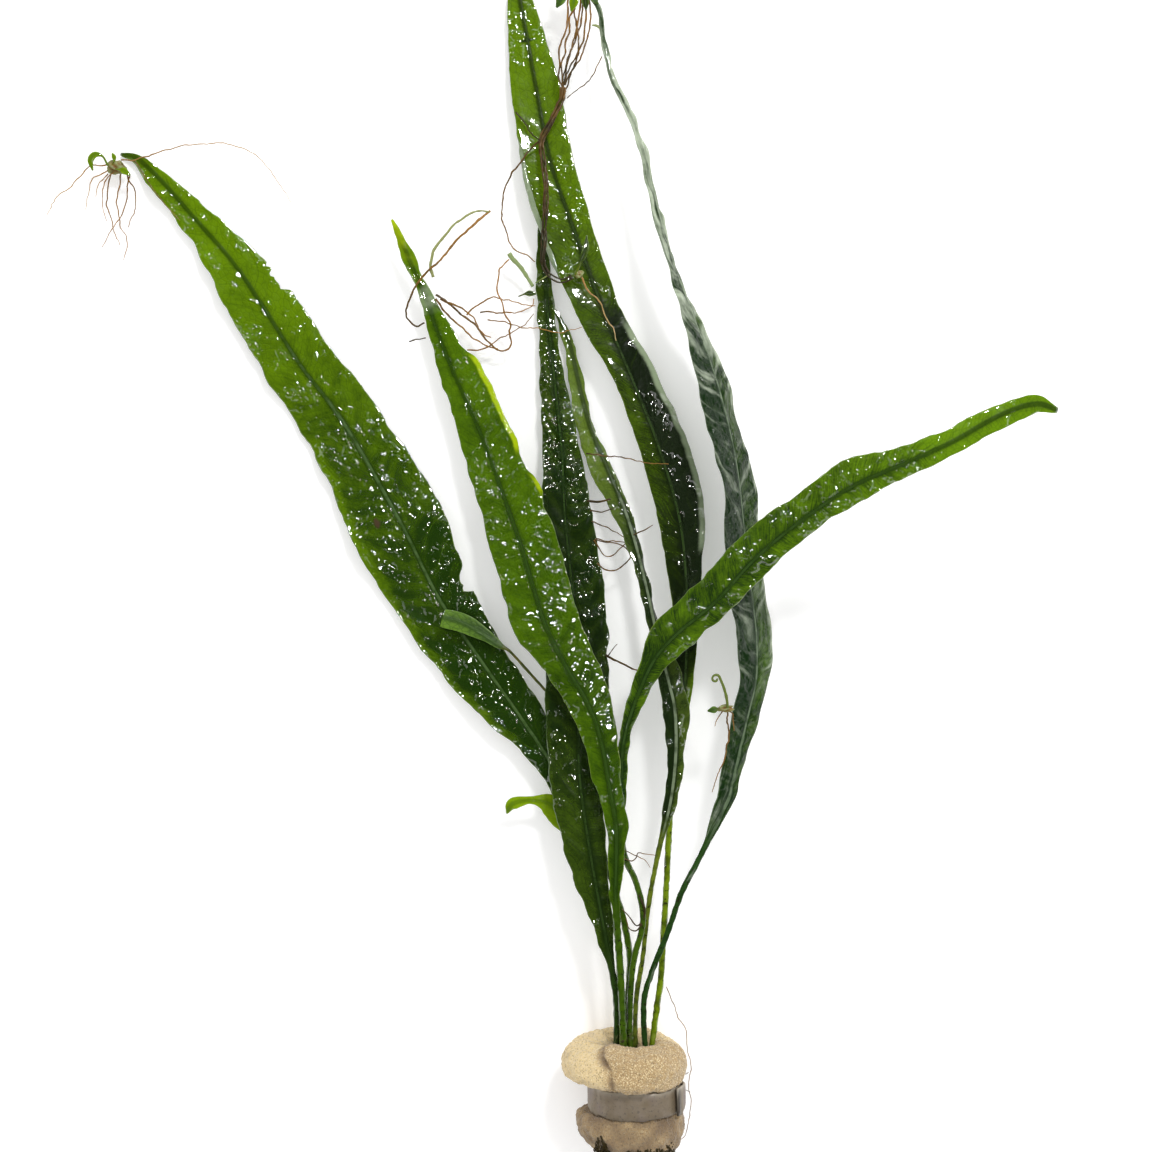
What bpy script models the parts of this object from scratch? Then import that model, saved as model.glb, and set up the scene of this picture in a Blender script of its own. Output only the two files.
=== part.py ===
"""A bunch of java fern lying on its side, with the foam plug and metal strip that hold its foot.

Seven long strap fronds and two young leaves rise from one rhizome inside the plug, and young plants
with roots of their own sprout from the fronds. +Y runs from the plug to the tips, +X to the right as
seen from above, +Z up from the surface that the plant lies on. The origin is on that surface, under
the middle of the foam's flattened underside. Sizes below are in millimetres, and MM makes them metres.
"""

from math import cos, pi, radians, sin
from typing import NamedTuple

import bmesh
import bpy
import numpy as np
from mathutils import Vector

MM = 0.001
OBJECT_NAME = "java_fern"

# Fronds: a stalk that widens into a thin blade with a thick midrib.
RING_STEP = 6.4  # between two cross-sections along a frond
BLADE_THICK = 0.7  # halfway between midrib and margin
RIB_ABOVE = 0.5  # how far the midrib stands over the blade's middle plane
RIB_BELOW = 0.8  # and under it
WIDENING = 12.0  # length over which a round stalk turns into a flat blade
WAVE_LENGTH = 19.0  # of the gentle wave along each margin
WAVE_HEIGHT = 0.45
FLAT_TIP = 0.12  # half thickness of the very tip
TIP_SHARE = 0.15  # of the full section that is left at the very tip
STALK_SHOULDER = 0.87  # half height of the eight-cornered stalk halfway out, as a share of its radius
STALK_SPREAD = 1.2  # a frond is blade from where its half width passes this many stalk radii

# Plug: the foam wrap, the strip round its waist, the rhizome in its bore.
FOAM_SIDES = 24
FOAM_AXIS_Z = 14.2
FOAM_PRESSED = 1.3  # what lies lower than this is pressed flat on the surface
FOAM_SEAM_ANGLE = 113.0  # where the outer end of the roll leaves a crease
FOAM_SEAM_DEPTH = 1.5
FOAM_SEAM_SPREAD = 14.0  # degrees to either side over which the crease fades out
# Rows: y, centre x, radius, how far the outer end of the roll bulges to the left.
FOAM_ROWS = [
    (5.7, 1.7, 8.4, 0.6),
    (5.4, 0.9, 10.8, 1.0),
    (4.4, 0.4, 13.2, 0.6),
    (2.3, 0.1, 14.9, 0.4),
    (-0.2, 0.0, 15.4, 0.2),
    (-2.3, 0.2, 15.0, 0.0),
    (-3.7, 1.2, 13.4, 0.0),
    (-4.3, 2.6, 10.5, 0.0),
    (-11.2, 2.6, 10.5, 0.0),
    (-12.2, 2.8, 11.2, 2.4),
    (-14.5, 3.2, 11.7, 3.3),
    (-17.5, 3.4, 11.5, 2.9),
    (-20.2, 3.6, 10.3, 0.9),
    (-21.6, 3.6, 8.6, 0.0),
]
BORE_CENTRE = (2.3, 15.1)  # x, z
BORE_TOP = (6.7, 4.8)  # half width, half height
BORE_FOOT = (6.2, 5.2)

STRIP_Y = -7.9
STRIP_WIDE = 6.4
STRIP_THICK = 0.8
STRIP_CENTRE = (2.6, 14.2)
STRIP_RADIUS = 11.0
STRIP_TURN = 384.0  # degrees, so that the ends overlap
STRIP_START = 10.0
STRIP_LAP = 48.0  # degrees over which the outer end climbs over the inner one
STRIP_STEPS = 40

GAP = 0.35  # kept between pieces that touch
PATH_DENSITY = 16  # points between two given points before a path is read evenly


class Frond(NamedTuple):
    """A frond: the radius of its stalk, its midrib from foot to tip (x, y, z), and its blade as rows of
    share of the length, left and right half width, left and right lift in degrees."""

    colour: tuple
    stalk: float
    rib: list
    blade: list


FRONDS = {
    "frond_far_left": Frond(
        colour=(0.10, 0.26, 0.01),
        stalk=0.8,
        rib=[
            (0.3, 0, 14.6), (1, 15, 13.8), (1.5, 26.5, 13.2), (-1, 39, 12.2), (-6, 52.5, 10.4),
            (-13.5, 66, 8.7), (-21.5, 79, 5.6), (-36.5, 100.5, 4.6), (-47, 116, 4.2), (-57.5, 136.5, 4.2),
            (-71.5, 161, 4), (-83, 176.5, 3.8), (-94, 193.5, 3.6), (-101, 203.5, 3.4), (-111, 215, 3.2),
            (-119.5, 224.5, 3), (-125.5, 230, 2), (-130, 231.5, 0.7),
        ],
        blade=[
            (0.00, 0.8, 0.8, 0, 0), (0.16, 0.8, 0.8, 0, 0), (0.23, 3.0, 2.6, -6, 0),
            (0.31, 4.6, 5.6, -4, 4), (0.41, 9.2, 6.9, -5, 5), (0.47, 10.2, 8.8, -5, 6),
            (0.56, 12.1, 11.2, -6, 4), (0.66, 11.0, 9.2, -6, 3), (0.73, 9.5, 9.0, -5, 3),
            (0.81, 8.5, 8.0, -5, 4), (0.85, 6.6, 5.9, -4, 4), (0.91, 4.1, 3.9, -4, 4),
            (0.955, 3.3, 2.0, -8, 0), (0.985, 1.5, 1.0, -10, 0), (1.00, 0.5, 0.4, 0, 0),
        ],
    ),
    "frond_left": Frond(
        colour=(0.08, 0.20, 0.01),
        stalk=0.9,
        rib=[
            (-0.1, 1, 18), (-0.6, 16.5, 18.3), (-1.5, 31.5, 18.3), (-2.2, 43, 18.3), (-2, 58.5, 18.2),
            (-3.8, 70, 17.8), (-6, 82, 17), (-9.5, 91, 16.2), (-14, 98.5, 15.2), (-20, 110.5, 13.6),
            (-26, 130, 11.6), (-30, 141.5, 10.4), (-36.5, 159, 8.6), (-43, 173.5, 7.4), (-47.5, 185, 6.8),
            (-50, 192.5, 6.6), (-54, 201.5, 6.6), (-57, 208.5, 7), (-59, 213, 7.6),
        ],
        blade=[
            (0.00, 0.9, 0.9, 0, 0), (0.14, 0.9, 0.9, 0, 0), (0.19, 1.4, 1.3, 0, 0),
            (0.26, 2.5, 2.7, -10, -10), (0.31, 3.4, 3.2, -12, -12), (0.36, 4.4, 4.4, -14, -6),
            (0.41, 5.2, 6.4, -14, -10), (0.45, 5.2, 7.8, -10, -6), (0.51, 7.9, 8.8, -6, 0),
            (0.60, 7.8, 9.4, -4, 4), (0.66, 6.8, 8.2, -6, 8), (0.74, 5.7, 6.2, -8, 16),
            (0.81, 3.6, 5.6, -8, 20), (0.865, 2.5, 3.6, 0, 12), (0.90, 1.7, 1.9, 0, 0),
            (0.92, 1.4, 1.6, 0, 0), (0.95, 1.7, 1.8, 0, 0), (0.98, 1.2, 1.0, 0, 0), (1.00, 0.3, 0.3, 0, 0),
        ],
    ),
    "frond_centre": Frond(
        colour=(0.03, 0.10, 0.01),
        stalk=0.85,
        rib=[
            (-2, 1, 16.3), (-1.9, 16, 15.9), (-4.5, 31, 15.1), (-8.5, 53, 13.6), (-11, 70.5, 12.2),
            (-11.4, 83, 11), (-12.3, 111, 8), (-14.8, 136.5, 5.8), (-15.8, 156, 4.6), (-18.4, 180.5, 3.4),
            (-20, 198.5, 2.4), (-21.3, 215.5, 1.4),
        ],
        blade=[
            (0.00, 0.85, 0.85, 0, 0), (0.085, 0.85, 0.85, 0, 0), (0.14, 2.0, 2.0, -4, 0),
            (0.19, 4.2, 3.0, -6, 0), (0.245, 6.5, 4.2, -8, 0), (0.33, 7.7, 5.9, -8, -4),
            (0.385, 8.3, 7.4, -6, -6), (0.51, 7.9, 8.2, 0, -4), (0.63, 5.9, 7.1, 4, 4),
            (0.725, 4.8, 4.7, 0, 8), (0.80, 3.9, 2.8, 0, 4), (0.84, 3.1, 1.9, 0, 0),
            (0.92, 2.3, 1.8, 0, 0), (1.00, 0.4, 0.4, 0, 0),
        ],
    ),
    "frond_folded": Frond(
        colour=(0.07, 0.18, 0.02),
        stalk=0.6,
        rib=[
            (2.75, 0, 15), (3.1, 15.5, 14.8), (4.8, 26.5, 14.4), (6.3, 40, 14.2), (9.1, 54.5, 14.4),
            (11.7, 65.5, 14.6), (13, 77, 14.8), (12.8, 88, 14.6), (11.2, 95.5, 14), (8, 108.5, 12),
            (5, 122.5, 9.8), (1.2, 136.5, 7.4), (-3.8, 149, 5.2), (-8.4, 160.5, 3.6), (-11.5, 172.5, 2.7),
            (-13.5, 181.5, 2.2), (-15.8, 187.6, 1.6), (-18, 191.5, 1.2),
        ],
        blade=[
            (0.00, 0.6, 0.6, 0, 0), (0.26, 0.6, 0.6, 0, 0), (0.335, 1.5, 2.0, -10, -25),
            (0.39, 2.1, 2.5, -15, -30), (0.45, 3.0, 4.6, -10, -30), (0.49, 2.5, 4.4, -10, -32),
            (0.555, 1.7, 1.8, 0, -30), (0.625, 1.8, 1.2, 0, -30), (0.70, 2.8, 1.5, -6, -30),
            (0.77, 4.2, 1.5, -10, -30), (0.83, 3.8, 1.2, -8, -20), (0.895, 2.4, 1.4, 0, -10),
            (0.94, 1.6, 1.3, 0, 0), (0.975, 0.9, 0.9, 0, 0), (1.00, 0.3, 0.3, 0, 0),
        ],
    ),
    "frond_top": Frond(
        colour=(0.08, 0.21, 0.01),
        stalk=0.75,
        rib=[
            (6.6, 0.2, 14.9), (8.1, 12.5, 14.8), (9.3, 21, 14.4), (10.1, 33.5, 13.8), (10.9, 46, 12.6),
            (11.8, 61, 11.4), (13.4, 75.5, 10.6), (15.2, 91, 10.3), (16, 103.5, 10.2), (16, 118.5, 10.2),
            (14.3, 136, 9.9), (9.3, 154, 9), (3, 170.5, 7.8), (-6, 192.5, 6.4), (-13.5, 213.5, 5.4),
            (-18.7, 229, 4.8), (-22.3, 247.5, 4), (-24.6, 260.5, 3.2), (-26.7, 272, 2.2), (-27.7, 281.4, 1),
        ],
        blade=[
            (0.00, 0.75, 0.75, 0, 0), (0.20, 0.75, 0.75, 0, 0), (0.26, 1.4, 1.4, 0, -6),
            (0.315, 2.4, 2.0, 0, -14), (0.36, 3.2, 2.7, 0, -14), (0.41, 4.0, 3.8, 0, -14),
            (0.47, 5.4, 6.0, 2, -18), (0.535, 5.0, 6.6, 4, -20), (0.60, 4.5, 5.4, 6, -16),
            (0.68, 7.0, 4.5, 8, -8), (0.755, 7.9, 4.9, 8, 0), (0.81, 7.2, 5.9, 6, 2),
            (0.875, 6.6, 6.2, 2, 2), (0.925, 5.0, 4.8, 0, 1), (0.965, 3.1, 3.2, 1, 1), (1.00, 0.4, 0.4, 1, 1),
        ],
    ),
    "frond_right": Frond(
        colour=(0.03, 0.09, 0.03),
        stalk=0.7,
        rib=[
            (5.5, 0.5, 16.6), (4.9, 14.7, 16.8), (6.6, 22.5, 17.5), (10.5, 32.3, 17.6), (14.4, 43, 16.8),
            (18.7, 51, 15.6), (22.3, 58, 14.6), (26, 66, 13.4), (29.2, 78.5, 11.8), (31.7, 88.5, 10.8),
            (33.4, 96, 10.3), (33.5, 106, 10.2), (32.4, 116, 10.6), (30.5, 131, 11.6), (28, 151, 13),
            (23.7, 168.7, 14.2), (18.4, 183.8, 14.8), (12.6, 199, 15), (8.3, 214, 15), (5, 228, 14.4),
            (1.6, 238.3, 13.4), (-3, 248.7, 12.2), (-5, 257.7, 11.2), (-6, 265.5, 10), (-8.2, 269.3, 9),
        ],
        blade=[
            (0.00, 0.7, 0.7, 0, 0), (0.19, 0.7, 0.7, 0, 0), (0.22, 2.0, 1.2, 20, -20),
            (0.25, 3.2, 2.2, 30, -30), (0.295, 4.6, 3.2, 42, -42), (0.33, 6.2, 4.6, 50, -50),
            (0.36, 7.0, 6.4, 54, -54), (0.395, 9.4, 8.4, 54, -56), (0.43, 10.6, 9.6, 54, -58),
            (0.485, 10.2, 9.6, 57, -60), (0.555, 10.6, 9.4, 54, -60), (0.62, 9.2, 8.0, 56, -60),
            (0.68, 6.8, 5.0, 62, -62), (0.735, 4.6, 3.0, 62, -64), (0.79, 3.4, 2.0, 60, -64),
            (0.845, 2.2, 1.6, 56, -60), (0.885, 1.4, 1.2, 40, -40), (0.925, 0.8, 0.7, 0, 0),
            (0.985, 0.6, 0.6, 0, 0), (1.00, 0.4, 0.4, 0, 0),
        ],
    ),
    "frond_reaching": Frond(
        colour=(0.07, 0.21, 0.01),
        stalk=0.75,
        rib=[
            (1.5, 1, 16.8), (1.5, 16.5, 16.9), (2.5, 26.5, 17.1), (4.7, 36.3, 17.2), (3, 45.5, 16.2),
            (0.3, 51.5, 15), (-1, 61, 14.5), (-0.7, 72, 14.6), (0, 81, 15.6), (2.4, 90, 18.8),
            (6.7, 100.5, 21.8), (12.3, 107.5, 24), (21.8, 115.7, 27), (31, 126, 30), (41.5, 135, 33),
            (53, 143, 36), (64.5, 148.2, 39), (75.7, 153.2, 41), (87.3, 159.7, 41.5), (96, 162.5, 40),
            (102, 161.4, 37),
        ],
        blade=[
            (0.00, 0.75, 0.75, 0, 0), (0.245, 0.75, 0.75, 0, 0), (0.275, 1.1, 1.2, 0, 0),
            (0.325, 1.3, 1.6, 0, 0), (0.365, 1.4, 1.5, 0, -4), (0.41, 1.9, 2.1, 4, -6),
            (0.46, 2.8, 3.6, 12, -18), (0.505, 5.7, 4.7, 12, -16), (0.56, 6.2, 4.2, 10, -12),
            (0.625, 6.3, 4.9, 10, -12), (0.69, 5.6, 4.2, 8, -12), (0.755, 6.4, 4.5, 10, -14),
            (0.81, 4.4, 3.5, 8, -14), (0.87, 3.2, 3.0, 6, -12), (0.93, 2.7, 3.3, 6, -14),
            (0.97, 1.9, 2.5, 0, -18), (1.00, 0.6, 0.8, 0, 0),
        ],
    ),
    "young_leaf_yellow": Frond(
        colour=(0.27, 0.46, 0.02),
        stalk=0.5,
        rib=[
            (-0.6, -0.5, 12.3), (-0.9, 25, 11), (-4.5, 40, 9.2), (-9, 52.5, 6.8), (-14.5, 59.5, 5.8),
            (-18.8, 63.6, 5.9), (-22, 64.6, 7.0), (-25.5, 64.6, 7.2), (-28.4, 63.6, 7), (-29.7, 61.2, 5.4),
        ],
        blade=[
            (0.00, 0.5, 0.5, 0, 0), (0.62, 0.55, 0.55, 0, 0), (0.70, 2.4, 2.8, -8, 0),
            (0.77, 3.6, 3.4, -10, -2), (0.84, 3.0, 2.6, -8, 8), (0.90, 1.0, 1.0, 0, 20),
            (0.95, 1.7, 1.7, 0, 0), (1.00, 0.3, 0.3, 0, 0),
        ],
    ),
    "young_leaf_green": Frond(
        colour=(0.11, 0.28, 0.03),
        stalk=0.35,
        rib=[
            (-14.8, 87.8, 7.2), (-20, 93, 7.1), (-25, 98.5, 7.1), (-29, 102.8, 7.2), (-31.5, 104.4, 7.3),
            (-36.5, 108, 7.7), (-41, 110.4, 8), (-46.5, 110.8, 7.6),
        ],
        blade=[
            (0.00, 0.35, 0.35, 0, 0), (0.50, 0.4, 0.4, 0, 0), (0.60, 1.0, 1.0, 0, 0),
            (0.70, 2.0, 2.1, 0, 6), (0.80, 2.8, 2.8, -4, 8), (0.90, 2.3, 2.0, -6, 4), (1.00, 0.3, 0.3, 0, 0),
        ],
    ),
}


class Root(NamedTuple):
    """A root or runner: its radius and the points (x, y, z) that it passes through."""

    radius: float
    points: list


class Plantlet(NamedTuple):
    """A young plant that sprouts from a frond: its crown (centre and half sizes), then the roots and
    shoots that leave the crown."""

    colour: tuple
    crown: tuple
    half: tuple
    shoots: list


PLANTLETS = {
    "plantlet_far_left_tip": Plantlet(
        colour=(0.25, 0.36, 0.08),
        crown=(-132.6, 228.2, 3.6),
        half=(2.2, 2.4, 1.6),
        shoots=[
            Root(0.45, [(-133, 228.5, 4), (-134.6, 230, 5.6), (-136.6, 229, 5.4), (-136.8, 226.8, 4.2)]),
            Root(0.30, [(-133, 228, 3.4), (-137.5, 227.3, 3.4), (-142, 223.5, 2.4), (-146, 220, 1.6),
                        (-149.5, 215.5, 0.8)]),
            Root(0.30, [(-132.5, 227, 3), (-131, 218.5, 2), (-130.3, 213.5, 1.2), (-128.6, 209.5, 0.9),
                        (-129.5, 204, 0.7)]),
            Root(0.30, [(-132, 227, 3), (-130.2, 219, 1.6), (-132.8, 212.5, 1), (-135.2, 207.3, 0.7)]),
            Root(0.30, [(-132.4, 228.5, 4.4), (-127, 231.8, 5), (-119, 233.2, 6), (-110, 233.4, 7),
                        (-102, 232.6, 7.4), (-96.4, 231, 6.8), (-92.2, 228, 5.4), (-88.6, 223, 3.4),
                        (-85.7, 218.5, 1)]),
        ],
    ),
    "plantlet_left_neck": Plantlet(
        colour=(0.10, 0.07, 0.03),
        crown=(-46.4, 192.9, 8.6),
        half=(1.3, 1.5, 0.9),
        shoots=[
            Root(0.35, [(-46.4, 193, 8.6), (-48.2, 198, 9.4), (-48.4, 203, 9.8), (-46, 207.5, 10.2),
                        (-42.2, 211.6, 10.2), (-38, 214.6, 9.6), (-34, 214.8, 8)]),
            Root(0.35, [(-46.4, 192.6, 8.6), (-42, 190, 7.6), (-38, 186, 6), (-34.6, 182.2, 4.6),
                        (-31.6, 180.8, 3.8), (-29, 181.6, 4), (-28.8, 185, 5.4), (-30, 189, 6.8),
                        (-31.2, 193.4, 7.8), (-31.8, 198, 8), (-31, 201.8, 7), (-29.4, 203.8, 6)]),
            Root(0.35, [(-46.4, 193, 8.7), (-50.2, 197.6, 9.3), (-53.2, 195.8, 8.2), (-55.2, 192.4, 6),
                        (-55.6, 188.6, 4), (-53.6, 186.2, 3), (-51.6, 186.6, 3.2)]),
        ],
    ),
    "plantlet_top": Plantlet(
        colour=(0.16, 0.10, 0.05),
        crown=(-11.8, 271.2, 9.4),
        half=(3.6, 3.4, 1.8),
        shoots=[
            Root(0.35, [(-12.6, 270.6, 9.4), (-14.4, 262.5, 9.2), (-16.2, 256, 8.8), (-16.2, 250, 8.6),
                        (-15.3, 246, 8.6)]),
            Root(0.35, [(-11.4, 270, 9.4), (-10.9, 262.5, 9.2), (-12.4, 257, 9), (-14.4, 251, 8.8),
                        (-15.3, 246, 8.6)]),
            Root(0.35, [(-10.8, 270.6, 9.4), (-8.9, 263, 9.2), (-9.8, 257, 9), (-12.6, 251.5, 8.8),
                        (-15.3, 246, 8.6)]),
            Root(0.80, [(-15, 249, 8.7), (-15.3, 246, 8.6), (-16, 242, 8.4), (-18.2, 237.5, 8.2),
                        (-20.6, 233.5, 8.2), (-20.6, 228, 8.4), (-20, 220, 8.6), (-20.2, 208, 8.8),
                        (-20.2, 202.5, 8.8), (-18.6, 199, 8.6), (-15.3, 197.2, 8.6), (-12, 198.6, 8.8)]),
            Root(0.30, [(-20.6, 233.8, 8.2), (-25.4, 229.2, 8), (-28.7, 224.5, 6.4), (-30.6, 220, 5.4),
                        (-30.8, 213.5, 5), (-29.4, 208.5, 4.8), (-26, 205, 4.6), (-22.9, 203.6, 4.4)]),
            Root(0.45, [(-12, 198.8, 8.8), (-10.4, 202.6, 9.4), (-9.4, 205.6, 9.2), (-9.3, 208.4, 8.6)]),
        ],
    ),
    "plantlet_right_edge": Plantlet(
        colour=(0.16, 0.22, 0.05),
        crown=(24.3, 89.2, 19.6),
        half=(2.3, 1.0, 0.9),
        shoots=[
            Root(0.35, [(24.3, 89.2, 19.6), (24.6, 92, 21), (24.2, 95.2, 21.6), (22.9, 97.6, 21.6),
                        (21.2, 97.8, 21.6), (20.8, 96.5, 21.6), (21.7, 96.1, 21.6)]),
            Root(0.30, [(24.4, 89, 19.6), (25.2, 85, 18), (25.4, 80.3, 16.8), (24.6, 77.3, 15.8),
                        (23.8, 74.2, 14.6), (22.4, 71.1, 13), (21.6, 67.4, 11.6)]),
        ],
    ),
}

ROOTS = {
    "root_centre_upper": Root(0.35, [(-9, 153.6, 7.4), (-4.6, 153, 7.6), (-1, 152.6, 8.2), (3, 151.6, 8.6)]),
    "root_centre_loop": Root(
        0.35,
        [(-4.2, 130.8, 7.4), (-3.6, 128.4, 6.8), (-2.2, 127, 6.4), (0, 127.4, 6.4), (1.6, 129.4, 6.8)],
    ),
    "root_centre_lower": Root(0.45, [(-3.2, 102, 9.2), (-0.6, 100.6, 11.6), (1.6, 99.4, 14.6)]),
    "root_beside_plug": Root(
        0.30,
        [(12.2, 14.5, 9), (14.2, 10.4, 9.4), (15.9, 5.6, 10), (16.6, 1, 11), (16.7, -3, 12),
         (16.8, -9, 13), (16.6, -15, 13), (15.6, -19.5, 12), (12, -23.6, 10)],
    ),
    "stem_stub_green": Root(0.55, [(-29, 204.6, 3), (-26.6, 201.6, 3), (-24.6, 199, 3.2)]),
}

RHIZOME_ROWS = [
    (-1.4, 2.0, 14.6, 2.6), (-2.6, 2.2, 14.8, 3.6), (-6, 2.6, 15, 3.2), (-9.5, 2.2, 15.2, 3.8),
    (-13, 2.6, 15, 3.2), (-16.6, 2.4, 15, 3.4), (-17.6, 2.4, 15, 2.2),
]
RHIZOME_SIDES = 10
TUFT_CROWN = (2.4, -20.0, 14.9)
TUFT_HALF = (4.8, 2.0, 3.8)
TUFT_ROOTS = 11
TUFT_ROOT_RADIUS = 0.55
TUFT_LENGTH = 11.0
TUFT_LENGTH_RANGE = 0.25  # share of the length by which roots differ
TUFT_MOUTH = (2.8, 2.0)  # half width and half height of the oval on which the roots start
TUFT_REACH = (9.0, 5.5)  # how far the outermost roots would lean sideways, and up or down
TUFT_SPREAD = (0.45, 0.4)  # least share of that lean, and what the roots add to it
TUFT_SPREAD_STRIDE = 5  # mixes near and far roots round the oval
TUFT_SWAY = (1.2, 0.8)  # sideways and upward bend of a root
TUFT_BENDS = (0.35, 0.7)  # shares of the length at which it bends out and back

FOAM_COLOUR = (0.72, 0.53, 0.30)
LEAD_COLOUR = (0.16, 0.15, 0.13)
ROOT_COLOUR = (0.16, 0.07, 0.02)
RHIZOME_COLOUR = (0.05, 0.035, 0.02)


def clear_scene():
    """Removes every object that the file starts with."""
    for obj in list(bpy.data.objects):
        bpy.data.objects.remove(obj, do_unlink=True)


def make_material(name, colour, roughness, metallic=0.0):
    """A plain Principled material."""
    material = bpy.data.materials.new(name)
    material.use_nodes = True
    shader = material.node_tree.nodes["Principled BSDF"]
    shader.inputs["Base Color"].default_value = (*colour, 1.0)
    shader.inputs["Roughness"].default_value = roughness
    shader.inputs["Metallic"].default_value = metallic
    return material


def add_object(name, data, material, collection):
    """Links a mesh or curve as a new object at the origin."""
    data.materials.append(material)
    obj = bpy.data.objects.new(name, data)
    collection.objects.link(obj)
    return obj


def smooth_path(points, count):
    """Count evenly spaced points of a smooth curve through the given ones, and its length."""
    points = np.array(points, float)
    ends = np.vstack([2 * points[0] - points[1], points, 2 * points[-1] - points[-2]])
    dense = []
    for p0, p1, p2, p3 in zip(ends, ends[1:], ends[2:], ends[3:]):
        for t in np.linspace(0.0, 1.0, PATH_DENSITY, endpoint=False):
            dense.append(
                0.5
                * (
                    2 * p1
                    + (p2 - p0) * t
                    + (2 * p0 - 5 * p1 + 4 * p2 - p3) * t**2
                    + (3 * p1 - p0 - 3 * p2 + p3) * t**3
                )
            )
    dense.append(points[-1])
    dense = np.array(dense)
    along = np.concatenate([[0.0], np.cumsum(np.linalg.norm(np.diff(dense, axis=0), axis=1))])
    even = np.linspace(0.0, along[-1], count)
    path = np.column_stack([np.interp(even, along, dense[:, axis]) for axis in range(3)])
    return path, along[-1]


def read_rows(rows, shares):
    """A table's values at the given shares, on smooth curves that pass through its rows and do not
    overshoot them."""
    rows = np.array(rows, float)
    at, values = rows[:, 0], rows[:, 1:]
    span = np.diff(at)[:, None]
    slope = np.diff(values, axis=0) / span
    bend = np.vstack([slope[:1], np.zeros_like(slope[1:]), slope[-1:]])
    before, after = slope[:-1], slope[1:]
    steady = before * after > 0
    bend[1:-1][steady] = (2 * before * after)[steady] / (before + after)[steady]
    cell = np.clip(np.searchsorted(at, shares, side="right") - 1, 0, len(at) - 2)
    width = span[cell]
    t = ((shares - at[cell]) / width[:, 0])[:, None]
    return (
        values[cell] * (1 - 3 * t**2 + 2 * t**3)
        + values[cell + 1] * (3 * t**2 - 2 * t**3)
        + bend[cell] * width * (t - 2 * t**2 + t**3)
        + bend[cell + 1] * width * (t**3 - t**2)
    )


def frames_along(path):
    """The left and up directions at each point of a path that runs mostly level."""
    tangent = np.gradient(path, axis=0)
    tangent /= np.linalg.norm(tangent, axis=1)[:, None]
    left = np.cross((0.0, 0.0, 1.0), tangent)
    left /= np.linalg.norm(left, axis=1)[:, None]
    return left, np.cross(tangent, left)


def loft(name, rings, material, collection):
    """A closed solid through a list of rings with equal numbers of points, each running clockwise as
    seen from the last ring, with a flat face on both ends."""
    mesh = bpy.data.meshes.new(name)
    bm = bmesh.new()
    rows = [[bm.verts.new(Vector(point) * MM) for point in ring] for ring in rings]
    sides = len(rows[0])
    for low, high in zip(rows, rows[1:]):
        for i in range(sides):
            j = (i + 1) % sides
            bm.faces.new((low[i], low[j], high[j], high[i]))
    bm.faces.new(rows[0])
    bm.faces.new(rows[-1])
    bmesh.ops.recalc_face_normals(bm, faces=bm.faces)
    bm.to_mesh(mesh)
    bm.free()
    mesh.shade_smooth()
    mesh.set_sharp_from_angle(angle=radians(50))
    return add_object(name, mesh, material, collection)


def stalk_end(frond):
    """The share of the length at which a frond's stalk starts to widen into its blade."""
    for row, after in zip(frond.blade, frond.blade[1:]):
        if after[1] > STALK_SPREAD * frond.stalk:
            return row[0]
    return 0.0


def half_section(wide, lift, swing):
    """The middle and the margin of one half of a blade, as offsets outward and up."""
    out, rise = wide * cos(radians(lift)), wide * sin(radians(lift))
    return (0.5 * out, 0.5 * rise), (out, rise + swing)


def frond_rings(frond):
    """The cross-sections of a frond from foot to tip. Each has eight points: the two margins, the
    midrib's top and bottom, and a point over and under the middle of each half."""
    _, length = smooth_path(frond.rib, 2)
    count = round(length / RING_STEP) + 1
    path, length = smooth_path(frond.rib, count)
    shares = np.linspace(0.0, 1.0, count)
    rows = read_rows(frond.blade, shares)
    left, up = frames_along(path)
    blade_from = stalk_end(frond)
    rings = []
    for i, share in enumerate(shares):
        wide_left, wide_right, lift_left, lift_right = rows[i]
        flat = min(max((share - blade_from) * length / WIDENING, 0.0), 1.0)
        tip = min((1.0 - share) * length / WIDENING + TIP_SHARE, 1.0)
        over = (frond.stalk * (1 - flat) + RIB_ABOVE * flat) * tip
        under = (frond.stalk * (1 - flat) + RIB_BELOW * flat) * tip
        half = max((STALK_SHOULDER * frond.stalk * (1 - flat) + 0.5 * BLADE_THICK * flat) * tip, FLAT_TIP)
        wave = WAVE_HEIGHT * flat * tip * sin(2 * pi * share * length / WAVE_LENGTH)
        mid_l, margin_l = half_section(wide_left, lift_left, wave)
        mid_r, margin_r = half_section(wide_right, lift_right, -wave)
        section = [
            margin_l,
            (mid_l[0], mid_l[1] + half),
            (0.0, over),
            (-mid_r[0], mid_r[1] + half),
            (-margin_r[0], margin_r[1]),
            (-mid_r[0], mid_r[1] - half),
            (0.0, -under),
            (mid_l[0], mid_l[1] - half),
        ]
        rings.append([path[i] + left[i] * a + up[i] * b for a, b in section])
    return rings


def make_fronds(collection):
    """The fronds and the young leaves, each one closed solid."""
    for name, frond in FRONDS.items():
        material = make_material(f"{name}_green", frond.colour, 0.32)
        loft(name, frond_rings(frond), material, collection)


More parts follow.
